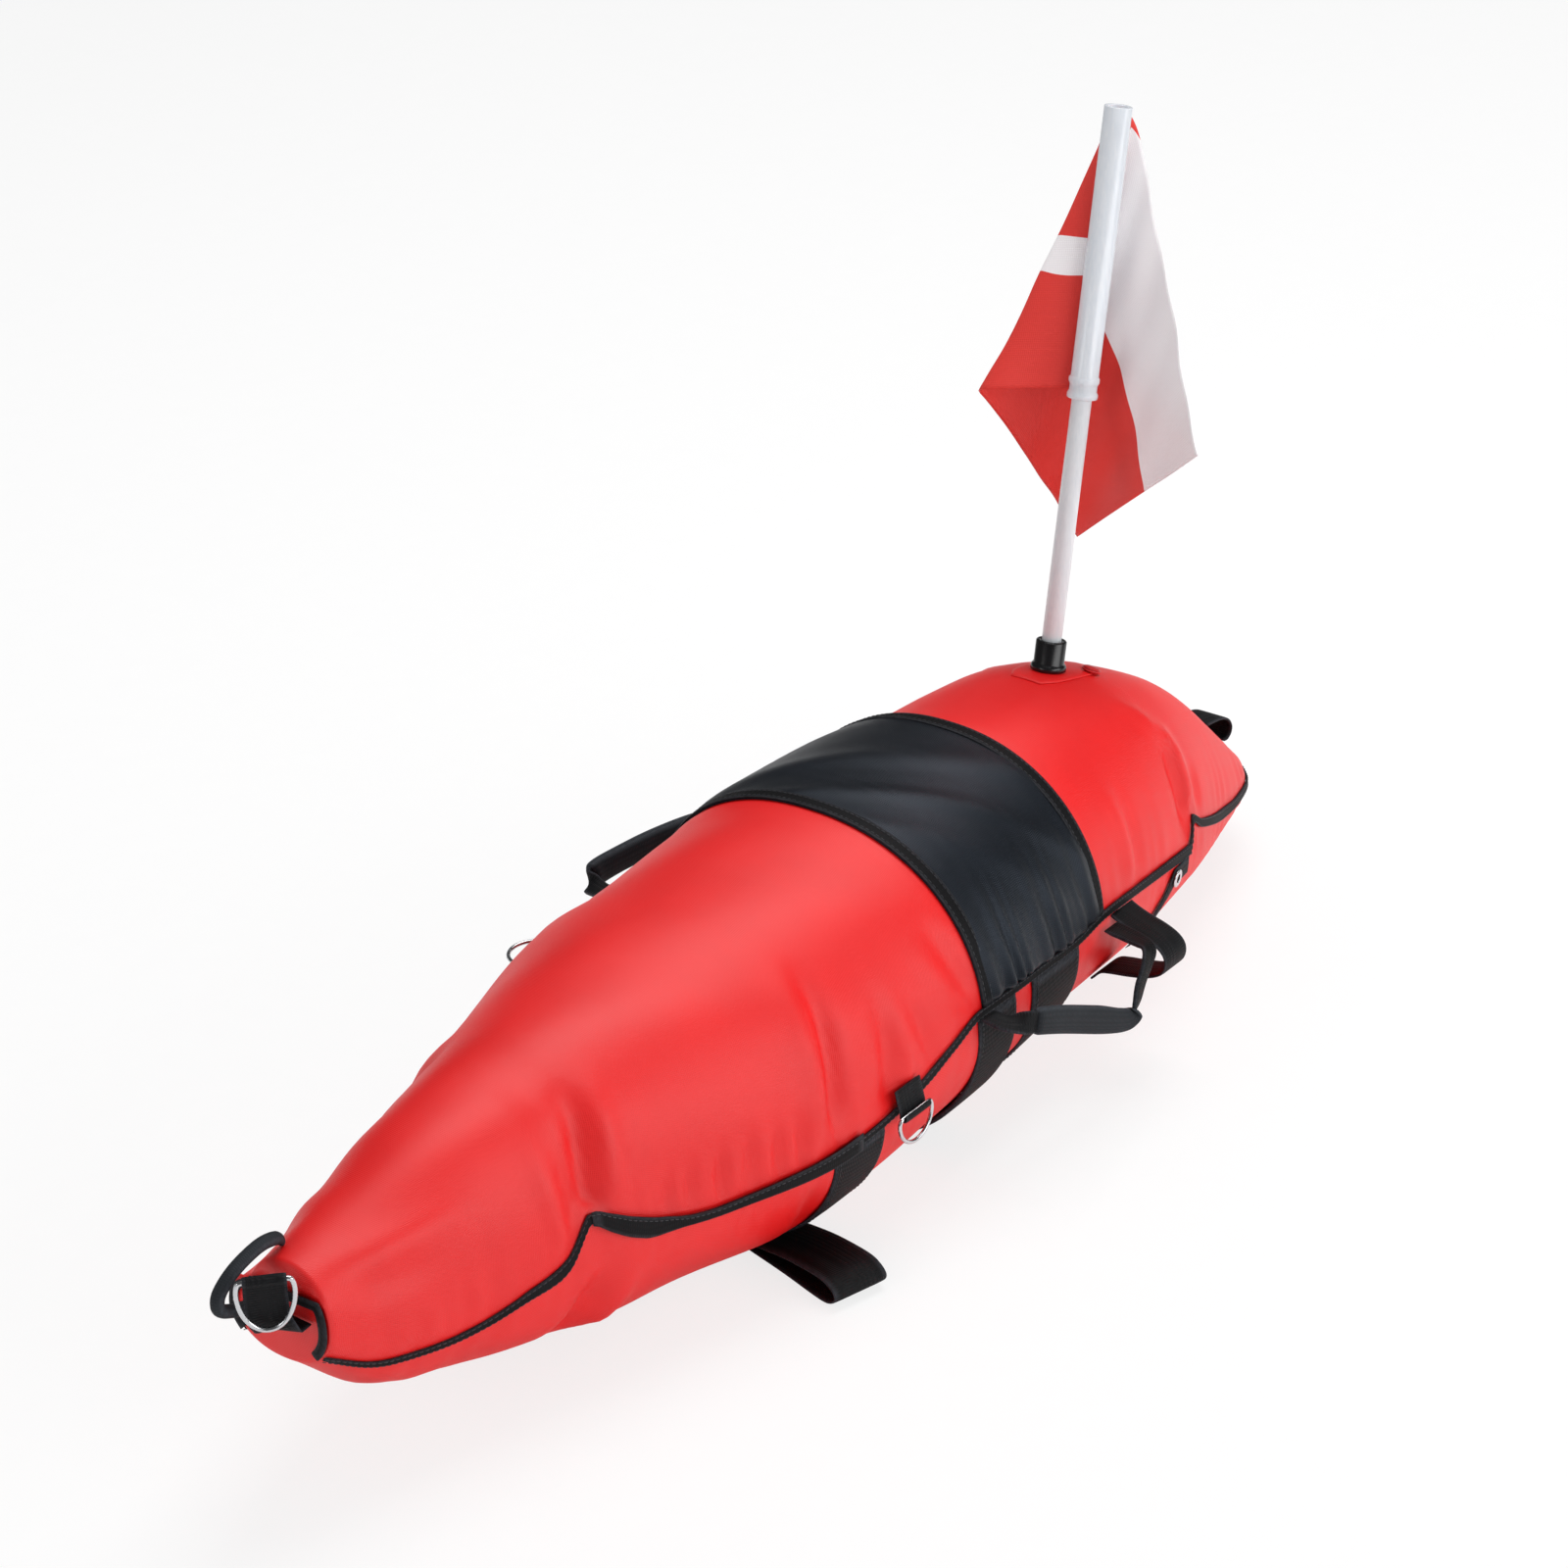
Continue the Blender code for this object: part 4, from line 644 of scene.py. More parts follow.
def over_top(x, columns):
    """Angles from seam to seam over the top, clear of the seam tape."""
    low = (seam(x) + wide_deg(x, BAND_MARGIN))[:, None]
    return low + (180 - 2 * low) * np.linspace(0, 1, columns + 1)[None, :]


BAND_PUCKER_HIGH, BAND_PUCKER_REACH, BAND_PUCKER_PITCH = 0.0036, 0.045, 0.0120
CREASE_HIGH, CREASE_FADE, CREASE_PITCH, HEM_HOLD, SEWN_HOLD = 0.0016, 0.03, 0.0170, 0.014, 0.004
PUCKER_SWAY, PUCKER_SWAY_TURN, CREASE_LENGTH_SHARE, CREASE_SKEW, FAR_PHASE = 0.006, 0.07, 0.30, 0.00046, 2.1
band_x = np.linspace(BAND_FRONT, BAND_REAR, 90)
band_deg = over_top(band_x, BAND_COLUMNS)
grid_x = band_x[:, None] + 0 * band_deg
off_seam = seam_gap(grid_x, band_deg)
inside = np.clip(np.minimum(grid_x - BAND_FRONT, BAND_REAR - grid_x) / HEM_HOLD, 0, 1)
side = np.where(band_deg > 90, FAR_PHASE, 0.0)
# Upright puckers fade out above the seams, and broad creases lie askew over the top.
puckers = ripple(grid_x + PUCKER_SWAY * np.sin(band_deg * PUCKER_SWAY_TURN), BAND_PUCKER_PITCH, side)
creases = ripple(grid_x * CREASE_LENGTH_SHARE + band_deg * CREASE_SKEW, CREASE_PITCH, 1.3) ** 2
band_relief = BAND_PUCKER_HIGH * np.exp(-(off_seam / BAND_PUCKER_REACH) ** 2) * puckers
band_relief += CREASE_HIGH * creases * np.clip(off_seam / CREASE_FADE, 0, 1)
band_relief *= inside * np.clip(off_seam / SEWN_HOLD, 0, 1)
laid("centre_band_cloth", grid_x, band_deg, GAP, BAND_THICK, black_nylon, ["centre_band"], band_relief)
hem_lift = BAND_THICK + 2 * GAP
runs = []
for end, start in (("front", BAND_FRONT), ("rear", BAND_REAR - HEM_WIDE)):
    hem_x = start + HEM_WIDE * NARROW_SHARES
    hem_deg = over_top(hem_x, BAND_COLUMNS)
    laid(f"band_hem_cloth_{end}", hem_x[:, None], hem_deg, hem_lift, HEM_THICK, black_tape,
         [f"band_hem_{end}"])
    for share in HEM_STITCH_SHARES:
        x = start + HEM_WIDE * share
        runs.append(hull(x, over_top(np.array([x]), BAND_COLUMNS - 1)[0], hem_lift + HEM_THICK))
stitches("band_stitches", runs)

# Belly straps and side pads: broad webbing that runs under the body from seam to seam and
# carries the float's weight, and short stiffened tongues of cloth where the handles pull.
WEB_THICK = 0.0017

# Nylon webbing: heavy plain weave, ribs 1.5 mm apart, matt, with a slight bloom at its edges.
webbing = weave_finish("nylon_webbing_black", "webbing", "0A0A0C", "191A1D", 0.0015, 0.00028, ribs=True,
                       worn="404249", Roughness=0.6, Specular_IOR_Level=0.18)


def under_belly(x, first, last, columns):
    """Angles from the near seam under the body towards the far one."""
    high = (seam(x) - wide_deg(x, BAND_MARGIN))[:, None]
    return (high - (180 + 2 * high) * np.linspace(first, last, columns + 1)[None, :])[:, ::-1]


PAD_SHARE, STRAP_COLUMNS, PAD_COLUMNS, STRAP_STITCH_SHARES = 3 / 12, 110, 30, (0.08, 0.92)
STRAP_SHARES = np.array([0, 0.02, 0.06, 0.2, 0.35, 0.5, 0.65, 0.8, 0.94, 0.98, 1.0])
STRAP_SLACK, SLACK_DEG, SLACK_SPREAD = 0.0026, -45, 24
runs = []
tongue = (webbing[0], "black_nylon")
for name, low_x, high_x, first, last, finish, node in (
        ("belly_webbing_front", -0.076, -0.034, 0, 1, webbing, "belly_strap_front"),
        ("belly_webbing_rear", 0.053, 0.090, 0, 1, webbing, "belly_strap_rear"),
        ("side_tongue_near", 0.108, 0.161, 0, PAD_SHARE, tongue, "side_pad_near"),
        ("side_tongue_far", 0.105, 0.155, 1 - PAD_SHARE, 1, tongue, "side_pad_far")):
    x = low_x + (high_x - low_x) * STRAP_SHARES
    deg = under_belly(x, first, last, STRAP_COLUMNS if last - first == 1 else PAD_COLUMNS)
    slack = STRAP_SLACK * np.exp(-((deg - SLACK_DEG) / SLACK_SPREAD) ** 2) * (node == "belly_strap_rear")
    laid(name, x[:, None], deg, GAP, WEB_THICK, finish, [node], slack)
    for share in STRAP_STITCH_SHARES:
        x = low_x + (high_x - low_x) * share
        runs.append(hull(x, under_belly(np.array([x]), first, last, deg.shape[1] - 1)[0], GAP + WEB_THICK))
stitches("belly_stitches", runs)

# Side handles: webbing from the front hem of the band to its rear hem, with a padded grip
# sewn round the part that is held. Each turns about the line of its two sewn ends.


def smooth_path(points, steps):
    """Points along a smooth curve through the given ones, ends kept."""
    p = [np.array(q, float) for q in points]
    made = []
    for i in range(len(p) - 1):
        p0, p1, p2, p3 = p[max(i - 1, 0)], p[i], p[i + 1], p[min(i + 2, len(p) - 1)]
        for k in range(steps):
            t = k / steps
            made.append(0.5 * (2 * p1 + (p2 - p0) * t + (2 * p0 - 5 * p1 + 4 * p2 - p3) * t * t
                               + (3 * p1 - p0 - 3 * p2 + p3) * t ** 3))
    return np.array(made + [p[-1]])


def rounded(wide, thick, power=4.0, count=20):
    """Outline of flat webbing with round edges, or of a soft roll with a lower power."""
    a = np.arange(count) * 2 * np.pi / count
    c, s = np.cos(a), np.sin(a)
    return np.stack([np.sign(c) * np.abs(c) ** (2 / power) * wide / 2,
                     np.sign(s) * np.abs(s) ** (2 / power) * thick / 2], -1)


def sweep(name, path, sides, outline, finish, body, nodes, wide=None, thick=None, closed=False):
    """A closed strap or roll: an outline along a path, its width turned along sides."""
    count, ring = len(path), len(outline)
    sides = np.broadcast_to(np.asarray(sides, float), path.shape)
    along = np.roll(path, -1, 0) - np.roll(path, 1, 0) if closed else np.gradient(path, axis=0)
    along = along / np.linalg.norm(along, axis=1)[:, None]
    across = sides - along * (sides * along).sum(1)[:, None]
    across = across / np.linalg.norm(across, axis=1)[:, None]
    face = np.cross(across, along)
    wide = np.ones(count) if wide is None else np.asarray(wide, float)
    thick = np.ones(count) if thick is None else np.asarray(thick, float)
    rings = (path[:, None] + across[:, None] * (outline[None, :, :1] * wide[:, None, None])
             + face[:, None] * (outline[None, :, 1:] * thick[:, None, None]))
    faces = ring_faces(count, ring, 0, True, closed)
    if not closed:
        faces += [tuple(range(ring))[::-1], tuple(range((count - 1) * ring, count * ring))]
    u = np.concatenate([[0], np.cumsum(np.linalg.norm(np.diff(path, axis=0), axis=1))])
    v = np.cumsum(np.linalg.norm(np.roll(outline, -1, 0) - outline, axis=1))
    chart = np.stack(np.broadcast_arrays(u[:, None], v[None, :]), -1)
    rub = np.clip((np.abs(outline[:, 0]) / np.abs(outline[:, 0]).max() - 0.8) * 5, 0, 1)
    return piece(name, rings, faces, finish, body, nodes, chart, np.broadcast_to(rub, (count, ring)))


HANDLE_WIDE, HANDLE_THICK, HANDLE_END_SHARE, GRIP_WIDE, GRIP_THICK = 0.013, 0.003, 0.25, 0.0165, 0.0085
HANDLE_STEPS, HANDLE_TAPER, GRIP_TAPER, GRIP_SWELL, GRIP_NARROW, GRIP_THIN = 12, 2.2, 26, 0.07, 0.14, 0.5
# The middle line of each handle, the way that its width points there, and its width as a share.
NEAR_HANDLE = [(0.058, -0.1181, 0.1025), (0.0585, -0.130, 0.1008), (0.066, -0.139, 0.1005),
               (0.078, -0.1405, 0.0965), (0.100, -0.1405, 0.0865), (0.130, -0.1405, 0.0715),
               (0.155, -0.1408, 0.0590), (0.1650, -0.1412, 0.0570), (0.1705, -0.1415, 0.0635),
               (0.1745, -0.1418, 0.0740), (0.181, -0.1418, 0.0835), (0.189, -0.1370, 0.0890),
               (0.1928, -0.1240, 0.0900), (0.193, -0.1089, 0.092)]
NEAR_SIDES = [(1, 0.06, 0), (1, 0.06, 0.1), (0.75, 0, 0.6), (0.45, 0, 0.9), (0.45, 0, 0.9), (0.45, 0, 0.9),
              (0.45, 0.1, 0.9), (0.5, 0.2, 0.7), (0.8, 0.2, 0.1), (0.93, 0.1, -0.3), (0.93, 0.08, -0.3),
              (0.97, 0.08, -0.15), (1, 0.06, 0), (1, 0.06, 0)]
NEAR_WIDTHS = [1, 1, 1, 1, 1, 1, 0.85, 0.75, 0.8, 0.8, 0.8, 0.85, 0.95, 1]
FAR_HANDLE = [(0.058, 0.1181, 0.1025), (0.0545, 0.137, 0.1020), (0.0535, 0.154, 0.1020),
              (0.0592, 0.1650, 0.1015), (0.070, 0.1695, 0.1015), (0.090, 0.1700, 0.1005),
              (0.115, 0.1683, 0.0993), (0.140, 0.1655, 0.0973), (0.160, 0.1620, 0.0950),
              (0.174, 0.1560, 0.0935), (0.184, 0.1475, 0.093), (0.190, 0.1365, 0.0925),
              (0.1925, 0.124, 0.0922), (0.193, 0.1089, 0.092)]
FAR_SIDES = [(1, -0.06, 0), (1, 0, 0), (1, 0, 0.15), (0.6, 0.5, 0.45), (0.2, 0.2, 0.9), (0.05, 0, 1),
             (0.05, 0, 1), (0.05, 0, 1), (-0.05, 0.1, 1), (-0.4, 0.4, 0.8), (-0.8, 0.3, 0.4), (-1, 0.1, 0.1),
             (-1, 0, 0), (-1, 0.06, 0)]

# Padded neoprene under a knitted face: soft black-grey, finely ribbed, no gloss.
neoprene = weave_finish("neoprene_sleeve", "rubber", "202327", "303439", 0.0013, 0.00016, ribs=True,
                        worn="4A4E55", Roughness=0.7, Specular_IOR_Level=0.2)

for side, points, turns, widths, span in (("near", NEAR_HANDLE, NEAR_SIDES, NEAR_WIDTHS, (2.6, 7.6)),
                                          ("far", FAR_HANDLE, FAR_SIDES, [1] * 14, (3.6, 8.8))):
    path, turn = smooth_path(points, HANDLE_STEPS), smooth_path(turns, HANDLE_STEPS)
    knots = np.arange(len(path)) / HANDLE_STEPS
    wide = ease(knots, range(len(points)), widths)
    thin = np.clip(HANDLE_END_SHARE + np.minimum(knots, knots[-1] - knots) * HANDLE_TAPER, 0, 1)
    body = side + "_handle"
    sweep(f"handle_webbing_{side}", path, turn, rounded(HANDLE_WIDE, HANDLE_THICK, 5.0), webbing, body,
          [f"side_handle_{side}"], wide, thin)
    first, last = round(span[0] * HANDLE_STEPS), round(span[1] * HANDLE_STEPS) + 1
    held = np.linspace(0, 1, last - first)
    swell = (1 - GRIP_SWELL + GRIP_SWELL * np.sin(np.pi * held) ** 0.5) * wide[first:last]
    ends = np.clip(np.minimum(held, 1 - held) * GRIP_TAPER, 0, 1) ** 0.5
    grip = sweep(f"padded_grip_{side}", path[first:last], turn[first:last],
                 rounded(GRIP_WIDE, GRIP_THICK, 2.8, 28), neoprene, body, [f"handle_grip_{side}"],
                 swell * (1 - GRIP_NARROW + GRIP_NARROW * ends), 1 - GRIP_THIN + GRIP_THIN * ends)

# Side rings: small D rings of bent steel wire, each held at the seam by a folded tab of
# webbing. The near one hangs down over the lower cover, the far one stands out sideways.
SIDE_WIRE, SIDE_RING_HALF, SIDE_RING_DEEP, SIDE_RING_X = 0.0012, 0.0148, 0.0185, -0.016
TAB_WIDE, TAB_THICK = 0.0230, 0.0014
CURL = SIDE_WIRE + GAP + TAB_THICK / 2
CURL_FROM, CURL_TO, CURL_STEPS, ROOT_STEPS = -25, 235, 24, 6

# Stainless wire: drawn and tumbled, bright with fine scratches along and across it.
steel = grained("stainless_wire", "steel", "D2D4D7", 700.0, 4.0, (0.00004, 0.5), dulls=(0.14, 0.36),
                Metallic=1.0, Roughness=0.22)


def ring_path(centre, flat, down, half, depth):
    """Middle line of a D ring: its flat side through centre, its round side towards down."""
    corner, bend, steps = 0.22, 0.06, 5
    outline = [(-1 + corner, 0), (0, 0), (1 - corner, 0), (1 - bend, bend)]
    outline += [(math.cos(a), corner + (1 - corner) * math.sin(a)) for a in np.linspace(0, math.pi, 15)]
    outline.append((-1 + bend, bend))
    spots = [centre + flat * (a * half) + down * (b * depth) for a, b in outline]
    looped = smooth_path([spots[-1]] + spots + spots[:2], steps)
    return looped[steps:steps + len(spots) * steps]


def curl_path(centre, back, down, radius, start, end, count):
    """Arc round a wire, in degrees: 0 is towards back, 90 towards down."""
    return [centre + back * (radius * math.cos(a)) + down * (radius * math.sin(a))
            for a in np.radians(np.linspace(start, end, count + 1))]


LENGTHWISE, UPWARD, ACROSS = np.array([1.0, 0, 0]), np.array([0, 0, 1.0]), np.array([0, 1.0, 0])
for side, ring_at, tab_at, back, hang in (("near", (-0.1212, 0.0800), (-0.1160, 0.0950), ACROSS, -UPWARD),
                                          ("far", (0.1430, 0.0950), (0.1164, 0.0850), -UPWARD, ACROSS)):
    centre, root = np.array((SIDE_RING_X, *ring_at)), np.array((SIDE_RING_X, *tab_at))
    curl = curl_path(centre, back, hang, CURL, CURL_FROM, CURL_TO, CURL_STEPS)
    path = np.array([root + (curl[0] - root) * k / ROOT_STEPS for k in range(ROOT_STEPS)] + curl)
    sweep(f"ring_webbing_{side}", path, LENGTHWISE, rounded(TAB_WIDE, TAB_THICK, 5.0), webbing, "hull",
          [f"ring_tab_{side}"])
    sweep(f"d_ring_{side}", ring_path(centre, LENGTHWISE, hang, SIDE_RING_HALF, SIDE_RING_DEEP),
          np.cross(LENGTHWISE, hang), rounded(2 * SIDE_WIRE, 2 * SIDE_WIRE, 2.0, 14), steel, f"{side}_ring",
          [f"side_ring_{side}"], closed=True)

# Bow: tape binds the front edge of the cover round its flat face. A padded loop to carry the
# float by is sewn to that face, and a broad tab holds the steel towing ring.
BOW_TAPE_WIDE, BOW_TAPE_THICK, BOW_TAPE_LIFT, BOW_TAPE_EDGE, BOW_ARCH_DEG = 0.0055, 0.0015, 0.0012, 0.0004, -1.0
ARCH_COLUMNS = 60
bow_low = float(seam(BOW) + wide_deg(np.array(BOW), GAP / 2))
facet_line = hull(BOW, bow_low + (180 - 2 * bow_low) * FACET_SHARE, -BOW_INSET)[2]


def bow_arch(depth, lift):
    """Line round the flat face of the bow, at a depth inside its edge."""
    low = float(seam(BOW)) + BOW_ARCH_DEG
    spots = hull(BOW, np.linspace(low, 180 - low, ARCH_COLUMNS + 1), -depth)
    spots[:, 0] = BOW - BOW_TURN - lift
    spots[:, 2] = np.minimum(spots[:, 2], facet_line + BOW_TAPE_EDGE + BOW_TAPE_WIDE / 2 - depth)
    return spots


steps = BOW_TAPE_EDGE + BOW_TAPE_WIDE * np.array([1.0, 0.9, 0.5, 0.1, 0.0])
rise = BOW_TAPE_THICK * np.array([0.4, 0.85, 1.0, 0.85, 0.4])
shell("bow_edge_tape", np.array([bow_arch(d, BOW_TAPE_LIFT + t) for d, t in zip(steps, rise)]),
      np.array([bow_arch(d, BOW_TAPE_LIFT) for d in steps]), black_tape, ["bow_binding"])

BOW_ROPE, ROPE_END_SHARE, ROPE_STEPS = 0.0036, 0.45, 9
BOW_HANDLE_Y = 0.006
BOW_HANDLE = [(x, BOW_HANDLE_Y, z) for x, z in ((-0.3830, 0.1462), (-0.3872, 0.1514), (-0.398, 0.1536),
                                                (-0.411, 0.1518), (-0.4225, 0.1478), (-0.4315, 0.1410),
                                                (-0.4320, 0.1332), (-0.424, 0.1280), (-0.4135, 0.1243),
                                                (-0.4055, 0.1220), (-0.3986, 0.1208))]
path = smooth_path(BOW_HANDLE, ROPE_STEPS)
knots = np.minimum(np.arange(len(path)), np.arange(len(path))[::-1]) / ROPE_STEPS
full = np.clip(ROPE_END_SHARE + (1 - ROPE_END_SHARE) * knots, 0, 1)
bow_loop = sweep("padded_bow_loop", path, ACROSS, rounded(2 * BOW_ROPE, 2 * BOW_ROPE, 2.3, 20),
                 (neoprene[0], "webbing"), "bow_loop", ["bow_handle"], full, full)

BOW_WIRE, BOW_RING_HALF, BOW_RING_DEEP, BOW_TAB_WIDE = 0.0014, 0.0148, 0.029, 0.0225
BOW_RING_AT, BOW_CURL = np.array((-0.4205, -0.0160, 0.152)), (30, -215, 12)
ring_flat, ring_back = np.array((-0.717, 0.697, 0)), np.array((0.697, 0.717, 0))
BOW_TAB_PATH = [(-0.3978, -0.0125, 0.1165), (-0.4065, -0.0125, 0.1158), (-0.4125, -0.0145, 0.1190),
                (-0.4170, -0.0130, 0.128)]
BOW_TAB_SIDES = [(0, 1, 0), (-0.12, 1, 0), (-0.55, 0.85, 0), (-0.717, 0.697, 0)]
curl = curl_path(BOW_RING_AT, ring_back, -UPWARD, BOW_WIRE + GAP + TAB_THICK / 2, *BOW_CURL)
path = smooth_path(BOW_TAB_PATH + curl, 4)
turn = smooth_path(BOW_TAB_SIDES + [tuple(ring_flat)] * len(curl), 4)
sweep("bow_ring_webbing", path, turn, rounded(BOW_TAB_WIDE, TAB_THICK, 5.0), webbing, "hull",
      ["bow_ring_tab"])
sweep("bow_d_ring", ring_path(BOW_RING_AT, ring_flat, -UPWARD, BOW_RING_HALF, BOW_RING_DEEP),
      np.cross(ring_flat, -UPWARD), rounded(2 * BOW_WIRE, 2 * BOW_WIRE, 2.0, 16), steel, "bow_ring",
      ["bow_ring"], closed=True)

# Bottom loops: the same broad webbing, folded back on itself. The front one lies shut on the
# ground beside the belly and flaps at its sewn end; the rear one stands open at the side.
LOOP_THICK, FRONT_LOOP_WIDE, REAR_LOOP_WIDE, FRONT_LOOP_SIDE = 0.0016, 0.036, 0.022, (0.965, -0.262, 0)
FRONT_LOOP = [(-0.0645, -0.058, 0.0008), (-0.0725, -0.087, 0.0008), (-0.082, -0.118, 0.0008),
              (-0.0852, -0.1285, 0.0030), (-0.0862, -0.1325, 0.0078), (-0.0852, -0.1285, 0.0124),
              (-0.082, -0.118, 0.0144), (-0.0745, -0.092, 0.0120), (-0.0680, -0.070, 0.0074),
              (-0.0645, -0.058, 0.0043)]
REAR_LOOP_X = 0.212
REAR_LOOP = [(REAR_LOOP_X, y, z) for y, z in ((-0.1036, 0.0940), (-0.1085, 0.0915), (-0.117, 0.0885),
                                              (-0.127, 0.0858), (-0.1355, 0.0820), (-0.1400, 0.0770),
                                              (-0.1403, 0.0705), (-0.1370, 0.0650), (-0.128, 0.0605),
                                              (-0.115, 0.0575), (-0.1025, 0.0555), (-0.0955, 0.0535),
                                              (-0.0893, 0.0478))]
for side, path, ways, wide, body in (("front", FRONT_LOOP, FRONT_LOOP_SIDE, FRONT_LOOP_WIDE, "front_loop"),
                                     ("rear", REAR_LOOP, LENGTHWISE, REAR_LOOP_WIDE, "hull")):
    sweep(f"{side}_bottom_loop", smooth_path(path, 6), ways, rounded(wide, LOOP_THICK, 6.0, 24), webbing,
          body, [f"bottom_loop_{side}"])

# Side strips and eyelets: a strip of webbing runs down from the seam on each side near the
# stern, with a pressed eyelet through it to tie gear to.
STRIP_X = [0.256, 0.268, 0.280, 0.290, 0.313]
STRIP_TOP_SHARES = [0.33, 0.20, 0.085, 0.012, 0.0]
STRIP_WIDE, STRIP_THICK, EYELET_X = 0.0125, 0.0012, 0.291
EYELET_RADIUS, EYELET_HOLE, EYELET_THICK = 0.0056, 0.0026, 0.0010


def lathe(name, profile, matrix, finish, body, nodes, steps=40):
    """A turned piece: (radius, height) pairs round local Z, a ring where the first radius isn't 0."""
    a = np.arange(steps) * 2 * np.pi / steps
    hollow = profile[0][0] > 0
    core = profile if hollow else profile[1:-1]
    rings = np.array([[(r * math.cos(t), r * math.sin(t), h) for t in a] for r, h in core])
    points = [matrix @ Vector(p) for p in rings.reshape(-1, 3)]
    faces = ring_faces(len(core), steps, 0, True, hollow)
    if not hollow:
        points += [matrix @ Vector((0, 0, profile[0][1])), matrix @ Vector((0, 0, profile[-1][1]))]
        top, low, last = len(core) * steps, len(core) * steps + 1, (len(core) - 1) * steps
        faces += [(top, (j + 1) % steps, j) for j in range(steps)]
        faces += [(low, last + j, last + (j + 1) % steps) for j in range(steps)]
    chart = np.stack(np.broadcast_arrays(a[None, :] * 0.01, np.array(core)[:, 1:]), -1).reshape(-1, 2)
    chart = np.concatenate([chart, np.zeros((len(points) - len(chart), 2))])
    return piece(name, [tuple(p) for p in points], [f[::-1] for f in faces], finish, body, nodes, chart)


def facing(x, deg, lift):
    """Matrix at a spot on the hull, its Z away from the body."""
    spot = Vector(hull(x, deg, lift))
    along = (Vector(hull(x + 0.005, deg, lift)) - Vector(hull(x - 0.005, deg, lift))).normalized()
    across = Vector(hull(x, deg + 2, lift)) - Vector(hull(x, deg - 2, lift))
    z = along.cross(across).normalized()
    if z.dot(Vector(hull(x, deg, 0.01)) - Vector(hull(x, deg))) < 0:
        z = -z
    made = Matrix((along, z.cross(along).normalized(), z)).transposed().to_4x4()
    made.translation = spot
    return made


def softened(profile, cut=0.0002):
    """A profile with its corners cut small, so that its edges catch the light."""
    made = []
    count = len(profile)
    for k in range(count):
        p, before, after = np.array(profile[k]), np.array(profile[k - 1]), np.array(profile[(k + 1) % count])
        for other in (before, after):
            length = np.linalg.norm(other - p)
            made.append(tuple(p + (other - p) * min(cut / length, 0.45)))
    return made


EYELET = softened([(EYELET_HOLE, EYELET_THICK), (EYELET_RADIUS - EYELET_THICK / 2, EYELET_THICK),
                   (EYELET_RADIUS, EYELET_THICK / 2), (EYELET_RADIUS, 0), (EYELET_HOLE, 0)])


def strip_top(x):
    """Angle of the strip's upper edge: it leaves the seam tape and runs down."""
    return seam(x) - wide_deg(x, BAND_MARGIN) - 90 * np.interp(x, STRIP_X, STRIP_TOP_SHARES)


strip_x = np.linspace(STRIP_X[0], STRIP_X[-1], 40)
strip_deg = strip_top(strip_x)[:, None] - wide_deg(strip_x, STRIP_WIDE)[:, None] * NARROW_SHARES[::-1]
eyelet_deg = float(strip_top(EYELET_X) - wide_deg(EYELET_X, STRIP_WIDE) / 2)
for side, deg, spot in (("near", strip_deg, eyelet_deg),
                        ("far", -180 - strip_deg[:, ::-1], -180 - eyelet_deg)):
    laid(f"side_strip_webbing_{side}", strip_x[:, None], deg, GAP * 2, STRIP_THICK, webbing,
         [f"side_strip_{side}"])
    lathe(f"pressed_eyelet_{side}", EYELET, facing(EYELET_X, spot, 4 * GAP + STRIP_THICK), steel, "hull",
          [f"eyelet_{side}"])

# Tail: a folded webbing tab on top of the stern to clip a line to, and the tape's end turned
# over the tip of the seam.
TAIL_TAB = [(x, 0, z) for x, z in ((0.4475, 0.0846), (0.4550, 0.0836), (0.4640, 0.0818), (0.4710, 0.0782),
                                   (0.4745, 0.0725), (0.4735, 0.0680), (0.4700, 0.0656), (0.4665, 0.0658))]
TAIL_TAB_WIDE, TAIL_TAB_THICK, TAIL_TAPE_WIDE, TAIL_TAPE_THICK = 0.022, 0.0016, 0.0060, 0.0014
TAIL_TAPE = [(0.4866, -0.0055, 0.0420), (0.4868, 0, 0.0420), (0.4866, 0.0055, 0.0420)]
sweep("stern_webbing_tab", smooth_path(TAIL_TAB, 6), ACROSS, rounded(TAIL_TAB_WIDE, TAIL_TAB_THICK, 6.0, 24),
      webbing, "hull", ["stern_tab"])
sweep("tail_tape_end", smooth_path(TAIL_TAPE, 8), UPWARD, rounded(TAIL_TAPE_WIDE, TAIL_TAPE_THICK, 4.0),
      black_tape, "hull", ["tail_binding"])

# Socket patch, valve and stopper: an oval of the cover's own nylon is welded on top under the
# mast socket. The bladder's valve comes up through it and is shut by a push-in stopper.
PATCH_X = [0.268, 0.28, 0.295, 0.310, 0.322, 0.334]
PATCH_SHARES = [0.55, 0.9, 1.0, 0.95, 0.85, 0.45]
PATCH_HALF, PATCH_THICK = 0.015, 0.0008
x = np.linspace(PATCH_X[0], PATCH_X[-1], 34)
half = wide_deg(x, PATCH_HALF) * ease(x, PATCH_X, PATCH_SHARES)
deg = 90 + half[:, None] * np.linspace(-1, 1, 21)
laid("socket_patch_cloth", x[:, None], deg, GAP, PATCH_THICK, red_nylon, ["socket_patch"],
     holes=valve_cells)

# Moulded vinyl: soft red plastic with a satin skin and a faint orange peel.
vinyl = grained("moulded_vinyl_red", "valve_plastic", "C8181C", 900.0, 2.0, (0.00005, 0.6),
                ("BC1418", "D41E22"), Roughness=0.38, IOR=1.52)

